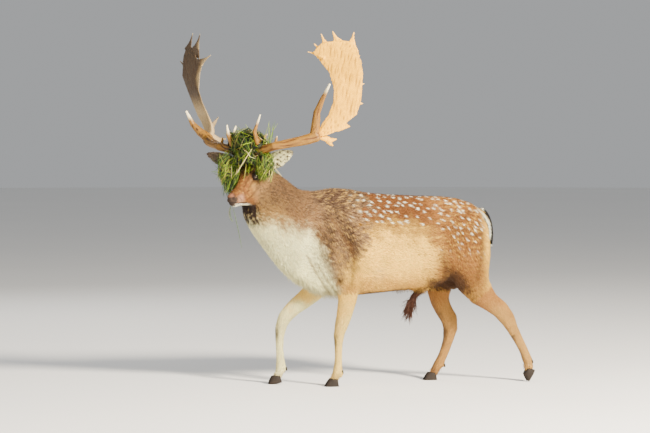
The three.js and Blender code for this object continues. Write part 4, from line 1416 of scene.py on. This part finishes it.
def bare_antler(cad_nodes):
    """The fused shape with its points, the part that each belongs to and how sharply it is curved."""
    antler = fused(cad_nodes, ANTLER_VOXEL, lambda node: 0.4 * MM)
    rough = coordinates(antler)
    curved = ((rough - relax(antler, rough, 5)) * normals_of(antler)).sum(axis=1) / MM
    curved = relax(antler, curved, 3)
    smooth = relax(antler, rough, 14, ramp(1.5, 0.7, np.abs(curved)))
    set_coordinates(antler, smooth)
    regained = relax(antler, ((rough - smooth) * normals_of(antler)).sum(axis=1), 12)
    trees = [search_tree(nodes[node].data) for node in cad_nodes]
    far = [[tree.find_nearest(point)[3] for point in smooth.tolist()] for tree in trees]
    return antler, smooth, regained, np.argmin(far, axis=0), curved


# %% Press in the furrows
def main_axis(points):
    return np.linalg.svd(points - points.mean(axis=0), full_matrices=False)[2][0]


def furrowed(points, part):
    """A cloudy field that is stretched along a part of the antler."""
    axis = main_axis(points)
    if part == "beam":
        turn, along = round_and_along(points, axis)
        turn *= 2 * math.pi
        flat = np.column_stack([np.cos(turn) * 0.016, np.sin(turn) * 0.016, along * 0.12])
    else:
        off = points - points.mean(axis=0)
        flat = off - 0.72 * (off @ axis)[:, None] * axis
    return mottle(flat, 0.0036 if part == "beam" else 0.0044, 31)


def press_furrows(antler, smooth, regained, part_of, curved):
    """Presses the furrows in, and returns how dark each point is stained."""
    furrow, depth, dark = np.zeros((3, len(smooth)))
    for index, (part, (deep, stain)) in enumerate(FURROWS.items()):
        mine = part_of == index
        furrow[mine] = furrowed(smooth[mine], part)
        depth[mine], dark[mine] = deep, stain
    depth = relax(antler, depth, 8)
    furrow = np.clip(relax(antler, furrow, 1), 0, 1.5) * ramp(2.0, 0.8, curved)
    set_coordinates(antler, smooth + normals_of(antler) * (regained - (furrow * depth + 0.2) * MM)[:, None])
    return furrow * dark


# %% [markdown]
# ## The look of the bone
# The beams are brown, because bark and mud rub into them. The palms are paler. The left one is clean, and
# the right one is painted dark as painted shade, but for its rear edge and its foot, which are painted lit.
# The points are rubbed white.

# %% Stain and rub the antlers, and paint shade and light on the right palm
BONES = {"left": (paint(246, 184, 104), 1.0), "right": (paint(70, 58, 46), 0.5)}  # palm colour, on the right painted shade, and how dark the furrows are stained
FOOT_OF_PALM, EDGE_ENDS = (1.34, 1.24), (1.60, 1.52)  # heights above the floor between which the painted light on the right palm's foot and rear edge fades


def rear_edge(points, mine):
    """0 at the front edge of a part of the antler and 1 at its rear edge, at each height."""
    marks, lows, highs = limits_along(points[mine, 2], points[mine, 0], 24)
    x, _, z = points.T
    return (x - np.interp(z, marks, lows)) / np.interp(z, marks, highs - lows)


def rubbed_and_lit(antler, name, smooth, part_of, curved):
    """How far each point is rubbed pale, with painted light on the right palm's foot and rear edge, and how
    far it has the palm's own colour.
    """
    painted_lit_parts = np.zeros(len(smooth))
    # the right palm is painted in shade, but its foot and rear edge are painted lit
    if name == "right":
        high = smooth[:, 2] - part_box("hoof_fore_left")[0].z
        edge = ramp(0.66, 0.90, rear_edge(smooth, part_of == PALM)) * ramp(*EDGE_ENDS, high)
        painted_lit_parts = (part_of == PALM) * np.maximum(ramp(*FOOT_OF_PALM, high), edge)
    palm = relax(antler, (part_of == PALM) * 1.0 - painted_lit_parts, 40)
    worn = relax(antler, ramp(0.6, 1.1, curved) * (0.25 + 0.75 * (part_of != PALM)), 30) * 2.2 + 0.25 * painted_lit_parts
    for index in TINES:
        mine = part_of == index
        worn[mine] += ramp(50, 14, (smooth[mine, 2].max() - smooth[mine, 2]) / MM)
    return worn, palm


def antler_look(shade, palm_bone, stain):
    worn, furrow, palm = shade.attribute("form").channels()
    cloud = noise(shade, 60, 4)
    # on the right antler palm_bone is a colour of painted shade
    bone = shade.mix(palm, paint(124, 94, 58), palm_bone)
    clouded = shade.mix(1.0, bone, cloud.spread(0.3, 0.7, 0.82, 1.1), "MULTIPLY")
    stained = shade.mix(furrow, clouded, paint(76, 48, 30) * stain)
    pale = shade.mix(worn, stained, paint(248, 232, 200))
    rough = cloud * 0.25 + 0.42
    return {"Base Color": pale, "Roughness": rough, "Normal": bumped(shade, cloud, 1.0 * MM)}


# %% Put on the antlers
for name, _ in SIDES:
    cad_nodes = ["antler_" + name + "_" + part for part in FURROWS]
    antler, smooth, regained, part_of, curved = bare_antler(cad_nodes)
    stain = press_furrows(antler, smooth, regained, part_of, curved)
    worn, palm = rubbed_and_lit(antler, name, smooth, part_of, curved)
    add_colours(antler, "form", np.clip(np.column_stack([worn, stain, palm]), 0, 1))
    bone = new_material(name + " antler", lambda shade: antler_look(shade, *BONES[name]),
                        specular_ior_level=0.4)
    new_piece("antler_" + name, antler, bone, cad_nodes)
    print("antler_" + name, len(antler.polygons), "squares")

# %% [markdown]
# ## Hooves
# A hoof is horn that grows down from the coronet in faint rings. The solids have the shape, and the
# brush rounds their edges without closing the cleft between the two toes.

# %% Hooves
def hoof_look(shade):
    rings = shade.make("ShaderNodeTexWave", {"bands_direction": "Z"}, {
        "Vector": object_place(shade), "Scale": 95.0, "Distortion": 3.0, "Detail": 2.0, "Detail Scale": 0.6})
    dust = noise(shade, 55, 4)
    base = shade.mix(dust, paint(14, 12, 11), paint(44, 36, 30))
    return {"Base Color": base, "Roughness": dust * 0.2 + 0.6, "Normal": bumped(shade, rings, 0.5 * MM)}


hoof_material = new_material("hoof horn", hoof_look, specular_ior_level=0.25)
for leg in LEGS:
    node = "hoof_" + leg
    hoof = fused([node], 1.7 * MM, lambda node: 0.0)
    set_coordinates(hoof, relax(hoof, coordinates(hoof), 5))
    new_piece(node + "_horn", hoof, hoof_material, [node])
print("hooves on")

# %% [markdown]
# ## Dewclaws
# Behind each fetlock sit two dewclaws, small cones of the same horn. A cone with a bevelled rim is
# enough for them: two are turned down and back, and set at the rear of each pastern, whose place is
# measured on the skin.

# %% Dewclaws
DEWCLAW_LENGTH, DEWCLAW_BASE, DEWCLAW_TIP = 15 * MM, 6.4 * MM, 3 * MM  # radii for the last two
DEWCLAW_UP, DEWCLAW_APART, DEWCLAW_IN = 28 * MM, 7.5 * MM, 1.5 * MM  # above the hoof, off the middle, sunk


def dewclaws(leg):
    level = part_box("hoof_" + leg)[1].z + DEWCLAW_UP
    near = (on(owners, leg_chain(leg)[2]) > 0) & (np.abs(points[:, 2] - level) < 8 * MM)
    band = points[near]
    rear = band[band[:, 0] > np.quantile(band[:, 0], 0.7)]
    clay = bmesh.new()
    for side in (-1, 1):
        made = bmesh.ops.create_cone(clay, cap_ends=True, segments=12, radius1=DEWCLAW_BASE,
                                     radius2=DEWCLAW_TIP, depth=DEWCLAW_LENGTH)
        turned = Vector((0.4, 0.1 * side, -1)).to_track_quat("Z", "Y").to_matrix().to_4x4()
        turned.translation = Vector((rear[:, 0].max() - DEWCLAW_IN, band[:, 1].mean() + side * DEWCLAW_APART,
                                     rear[:, 2].mean()))
        bmesh.ops.transform(clay, matrix=turned, verts=made["verts"])
    bmesh.ops.bevel(clay, geom=clay.edges[:], offset=1.4 * MM, offset_type="OFFSET", segments=2,
                    profile=0.5, affect="EDGES", clamp_overlap=True, material=-1)
    new_piece("dewclaws_" + leg, fired(clay, "dewclaws_" + leg), hoof_material)


for leg in LEGS:
    dewclaws(leg)
print("dewclaws on")

# %% [markdown]
# ## Eyes
# A deer's eye looks almost black from afar. Close to, the iris is dark brown with a bar of a pupil that
# lies level, and the wet surface takes a sharp highlight. A ball for each eye sits behind the lids.

# %% Eyes
def eye_look(shade):
    _, along, across = shade.attribute("gaze").channels()
    along, across = along - 0.5, across - 0.5
    pupil = (along * along * 22.0 + across * across * 75.0).spread(0.8, 1.3, 0, 1)
    rim = (along * along * 11.0 + across * across * 11.0).spread(0.9, 1.5, 0, 1)
    iris = shade.mix(noise(shade, 700, 3), paint(46, 27, 15), paint(88, 54, 28))
    inner = shade.mix(pupil, paint(6, 6, 9), iris)
    return {"Base Color": shade.mix(rim, inner, paint(22, 15, 12))}


eye_material = new_material("wet eye", eye_look, roughness=0.06, coat_weight=1.0, coat_roughness=0.02)
for name, side in SIDES:
    clay = bmesh.new()
    bmesh.ops.create_uvsphere(clay, u_segments=48, v_segments=32, radius=EYE_RADIUS - 0.24 * MM)
    out, along, across = eye_axes(side)
    turned = Matrix([out, along, across]).transposed().to_4x4()
    turned.translation = eyes[name]
    bmesh.ops.transform(clay, matrix=turned @ Matrix.Rotation(math.pi / 2, 4, "Y"), verts=clay.verts)
    bmesh.ops.recalc_face_normals(clay, faces=clay.faces)
    ball = fired(clay, "eyeball_" + name)
    gaze = (coordinates(ball) - eyes[name]) @ np.array([out, along, across]).T / EYE_RADIUS
    add_colours(ball, "gaze", gaze * 0.5 + 0.5)
    new_piece("eyeball_" + name, ball, eye_material, ["eye_" + name])
print("eyes in")

# %% [markdown]
# ## The grass on the head
# The buck has thrashed a tuft of grass and wears the clump. Each blade is a long sliver whose stations
# are drawn towards the tangle's solid, so that it wraps round the lump instead of cutting through it.
# How closely it hugs the lump differs from blade to blade, so that many ends stand off. A dark core fills
# the inside as painted shade, the deeper blades are painted darker as shade too, and single stalks hang down
# the face.

# %% The core of the clump, and the colours of grass
grass_core = fused(["grass_tangle"], 5 * MM, lambda node: 0.0)
core_points = relax(grass_core, coordinates(grass_core), 6)
set_coordinates(grass_core, core_points)
grass_search = search_tree(grass_core)
core_normals = normals_of(grass_core)
BLADE = sliver(6)
STATIONS = np.unique(np.round(BLADE[0][:, 1], 5))  # where a blade's rings are, from 0 to 1 along it
# fresh, pale and dark green, straw, and half dry
GREENS = np.array([paint(80, 104, 46), paint(138, 156, 74), paint(42, 56, 28), paint(232, 218, 168),
                   paint(160, 150, 94)])


def forehead(points):
    """1 in the wedge between the strands where the brown forehead shows, and 0 outside it."""
    back, left, up = in_head(points).T
    off_middle = np.abs(left - np.interp(up, [69, 96, 135], [3, 20, 26]))
    half_width = np.interp(up, [60, 96, 122, 135], [42, 34, 18, 0])
    return ramp(4, -8, off_middle - half_width) * ramp(200, 185, back)


# %% Blades along lines
def ribbons(name, lines, facing, width, colours):
    """Blades along lines of places, one line for each blade, with a place for each station."""
    shape, faces = BLADE
    which = np.searchsorted(STATIONS, np.round(shape[:, 1], 5))
    spine, facing = lines[:, which], facing[:, which]
    heading = unit(np.gradient(lines, axis=1))[:, which]
    side = unit(np.cross(heading, facing))
    half = width[:, None, None] * 0.5
    points = spine + side * half * shape[None, :, :1] + facing * half * 0.5 * shape[None, :, 2:]
    mesh, _ = copies_of(name, faces, points)
    along = 0.8 + 0.35 * shape[None, :, 1:2]
    add_colours(mesh, "coat", np.clip(colours[:, None] * along, 0, 1).reshape(-1, 3))
    return mesh


def blades(where, count, seed, deep, hug, tone, long=(0.05, 0.13), spread=1.0, lean=(0, 0, -0.4)):
    """`deep` (m), `hug` (0 straight to 1 close) and `long` (m) are ranges, `tone` how light they are, which
    paints shade on the deep blades and light on the ends.
    """
    dice = np.random.default_rng(seed)
    start = dice.choice(np.flatnonzero(where), count)
    length = dice.uniform(*long, count)
    direction = unit(dice.normal(size=(count, 3)) * spread + lean)
    direction = laid_flat(direction, core_normals[start], 0.75)
    origin = core_points[start] - direction * (0.4 * length)[:, None]
    depth, close = dice.uniform(*deep, count), dice.uniform(*hug, count)[:, None]
    curl = unit(dice.normal(size=(count, 3))) * (length * dice.uniform(0, 0.25, count))[:, None]
    lines, normals = [], []
    for station in STATIONS:
        straight = origin + direction * (length * station)[:, None] + curl * station ** 2
        found = [grass_search.find_nearest(point)[:2] for point in straight.tolist()]
        place = np.array([hit[:] for hit, _ in found])
        normal = np.array([facing[:] for _, facing in found])
        height = ((straight - place) * normal).sum(axis=1)[:, None]
        drawn = place + normal * depth[:, None]
        lines.append(np.where(height < 0, drawn, drawn + (straight - place) * (1 - close)))
        normals.append(normal)
    kind = dice.choice(5, count, p=[0.31, 0.22, 0.32, 0.06, 0.09])
    shade = tone * dice.normal(1, 0.16, count)[:, None]
    lines, normals = np.array(lines).transpose(1, 0, 2), np.array(normals).transpose(1, 0, 2)
    bare = forehead(lines.reshape(-1, 3)).reshape(lines.shape[:2]).mean(axis=1)
    kept = bare < dice.uniform(0.0, 0.3, count)
    width, colours = dice.uniform(1.3, 3.2, count) * MM, GREENS[kind] * shade
    return ribbons("grass", lines[kept], normals[kept], width[kept], colours[kept])


# %% [markdown]
# ## Loose stalks
# Some blades are seen one by one: a straw across the forehead, strays above the ear, the curtain down
# the cheeks and a long stalk from the mouth. Each group runs along a bend through three places.

# %% Stalks
# how many, then start, bend and end in the head's axes, spread and width (mm), and kinds of green
STALKS = [
    (1, (152, 60, 192), (124, 24, 142), (92, -16, 84), 0, 3.8, [3]),  # straw across the forehead
    (9, (192, 110, 190), (196, 124, 236), (202, 142, 296), 14, 2.0, [0, 1]),  # strays above the ear
    (60, (152, -48, 88), (112, -48, 46), (74, -44, 4), 12, 2.4, [0, 1, 2, 2]),  # curtain down the cheek
    (40, (156, -86, 70), (128, -84, 34), (88, -66, 0), 13, 2.2, [0, 1, 2]),
    (9, (155, -112, 62), (140, -124, 22), (116, -122, -22), 12, 1.7, [0, 2]),  # wisps at the far side
    (4, (14, -10, -34), (6, -18, -76), (10, -8, -110), 4, 1.3, [0, 4]),  # wisps under the nose
    (16, (196, 62, 132), (168, 62, 92), (148, 60, 52), 9, 2.2, [0, 1, 2]),  # over the left eye
    (14, (186, 16, 140), (156, 22, 100), (126, 18, 76), 17, 2.0, [0, 1, 2, 4]),  # down the forehead
    (8, (205, 98, 92), (200, 98, 58), (190, 96, 26), 9, 2.2, [0, 1, 2]),
    (1, (20, -4, -28), (2, 18, -132), (-18, 34, -228), 1, 3.0, [0]),  # the long stalk from the mouth
]


def stalks():
    dice = np.random.default_rng(65)
    t = STATIONS[:, None]
    lines, widths, colours = [], [], []
    for count, start, bend, end, spread, width, kinds in STALKS:
        for _ in range(count):
            common = dice.normal(0, 0.7 * spread, 3)
            places = np.array([start, bend, end]) + common + dice.normal(0, 0.5 * spread, (3, 3))
            first, middle_place, last = [np.array(head_point(*place)) for place in places.tolist()]
            pull = 2 * middle_place - (first + last) / 2
            lines.append(first * (1 - t) ** 2 + pull * 2 * t * (1 - t) + last * t ** 2)
            widths.append(width * MM * dice.uniform(0.7, 1.3))
            colours.append(GREENS[dice.choice(kinds)] * dice.uniform(0.6, 0.95))
    lines = np.array(lines)
    facing = np.broadcast_to(np.array(HEAD_LEFT - HEAD_BACK).astype(float), lines.shape)
    return ribbons("stalks", lines, facing, np.array(widths), np.array(colours))


# %% Put the grass on
def grass_look(shade):
    veins = noise(shade, 300, 2)
    base = shade.mix(1.0, shade.attribute("coat"), veins.spread(0, 1, 0.8, 1.2), "MULTIPLY")
    return {"Base Color": base, "Normal": bumped(shade, veins, 0.3 * MM)}


grass_material = new_material("torn grass", grass_look, roughness=0.55, specular_ior_level=0.4)
# the near black of the core is painted shade inside the clump
core_shade_material = new_material("inside of the clump", lambda shade: {
    "Base Color": shade.mix(noise(shade, 120, 4), paint(10, 12, 6), paint(30, 36, 14))}, roughness=0.9)
hanging = -np.array(UP) - 0.5 * np.array(HEAD_BACK)
clump_back, _, clump_up = in_head(core_points).T
over_face = (clump_up > 55) & (clump_up < 135) & (clump_back < 196)
over_face &= core_normals @ np.array(HEAD_BACK) < 0
wedge = forehead(core_points)
covered = wedge < 0.3
# the core shrinks, so that the blades hide it, and leaves the forehead free
shrunk = core_points - core_normals * 0.014
set_coordinates(grass_core, shrunk + np.array(HEAD_BACK) * (0.060 * wedge)[:, None])
new_piece("grass_core", grass_core, core_shade_material)
fringe = blades(covered & over_face, 230, 64, (-0.004, 0.001), (0.1, 0.4), 0.75, (0.05, 0.10), 0.32,
                hanging)
# the tones are painted shade on the inner blades and painted light on the outer ends
for name, layer, solids in (
        ("inside", blades(covered, 1500, 61, (-0.013, -0.007), (0.9, 1.0), 0.05), ()),
        ("blades", blades(covered, 560, 62, (-0.006, 0.001), (0.6, 1.0), 0.4), ["grass_tangle"]),
        ("ends", blades(covered, 460, 63, (-0.004, 0.001), (0.0, 0.5), 1.0), ()),
        ("fringe", fringe, ()),
        ("stalks", stalks(), ())):
    new_piece("grass_" + name, layer, grass_material, solids)
    print("grass_" + name, len(layer.polygons), "triangles")

# %% [markdown]
# ## The floor
# A plain pale floor shows where the hooves stand by their shadows.

# %% Floor
FLOOR_RADIUS = 40
clay = bmesh.new()
bmesh.ops.create_circle(clay, cap_ends=True, segments=96, radius=FLOOR_RADIUS)
floor = new_object("floor", fired(clay, "floor"))
floor.data.materials.append(new_material("pale floor", lambda shade: {
    "Base Color": shade.mix(noise(shade, 0.4), (0.86, 0.85, 0.83), (0.90, 0.89, 0.87))}, roughness=0.9))
floor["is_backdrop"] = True
print("floor", FLOOR_RADIUS, "m round")

# %% [markdown]
# ## The camera
# The buck is seen from its left and a little from the front, from about the height of its head, and
# through a long lens, which flattens depth as in pictures of shy animals. The camera is placed from the
# withers, so it follows the buck if its size changes.

# %% Camera
CAMERA_TURN, CAMERA_DIP = math.radians(-15), math.radians(1.94)
CAMERA_DISTANCE, CAMERA_HEIGHT = 12.0, 1.179
LENS, SENSOR = 144.9, 36  # millimetres
SHIFT = -0.0077  # share of the picture's width by which the view is moved sideways
camera_data = bpy.data.cameras.new("camera")
camera_data.sensor_width, camera_data.lens = SENSOR, LENS
camera_data.shift_x, camera_data.clip_end = SHIFT, 5 * FLOOR_RADIUS
camera = new_object("camera", camera_data)
ahead = Vector((-math.sin(CAMERA_TURN), math.cos(CAMERA_TURN), 0))
camera.location = WITHERS - ahead * CAMERA_DISTANCE + UP * CAMERA_HEIGHT
camera.rotation_mode = "QUATERNION"
camera.rotation_quaternion = (ahead - UP * math.tan(CAMERA_DIP)).to_track_quat("-Z", "Y")
bpy.context.scene.camera = camera
print("camera at", [round(v, 2) for v in camera.location])

# %% [markdown]
# ## The lights
# A warm lamp high on the camera's side is the sun, a large weak one from the front opens the shadows,
# and one behind lights the far edge of the back. A grey world fills in the rest.

# %% Lights
# place, width (m), power (W) and colour
LAMPS = {
    "key": ((3.1, -6.1, 4.0), 1.5, 3000, (1.0, 0.90, 0.74)),
    "fill": ((-5.0, -3.5, 3.0), 4.0, 150, (1.0, 0.97, 0.92)),
    "rim": ((-1.0, 5.5, 4.0), 3.0, 120, (1.0, 1.0, 1.0)),
}
LIT_PLACE = Vector((0, 0, 0.8))  # the middle of the barrel
for name, (place, width, power, tint) in LAMPS.items():
    data = bpy.data.lights.new(name, "AREA")
    data.shape, data.size, data.energy, data.color = "DISK", width, power, tint
    lamp = new_object(name, data)
    lamp.location = place
    lamp.rotation_mode = "QUATERNION"
    lamp.rotation_quaternion = (LIT_PLACE - Vector(place)).to_track_quat("-Z", "Y")
world = bpy.data.worlds.new("studio")
world.use_nodes = True
world.node_tree.nodes["Background"].inputs["Color"].default_value = (0.80, 0.82, 0.84, 1)
world.node_tree.nodes["Background"].inputs["Strength"].default_value = 0.5
bpy.context.scene.world = world
print(len(LAMPS), "lamps lit")

low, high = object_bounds()
print("visual box", [round(v, 3) for v in low], [round(v, 3) for v in high])
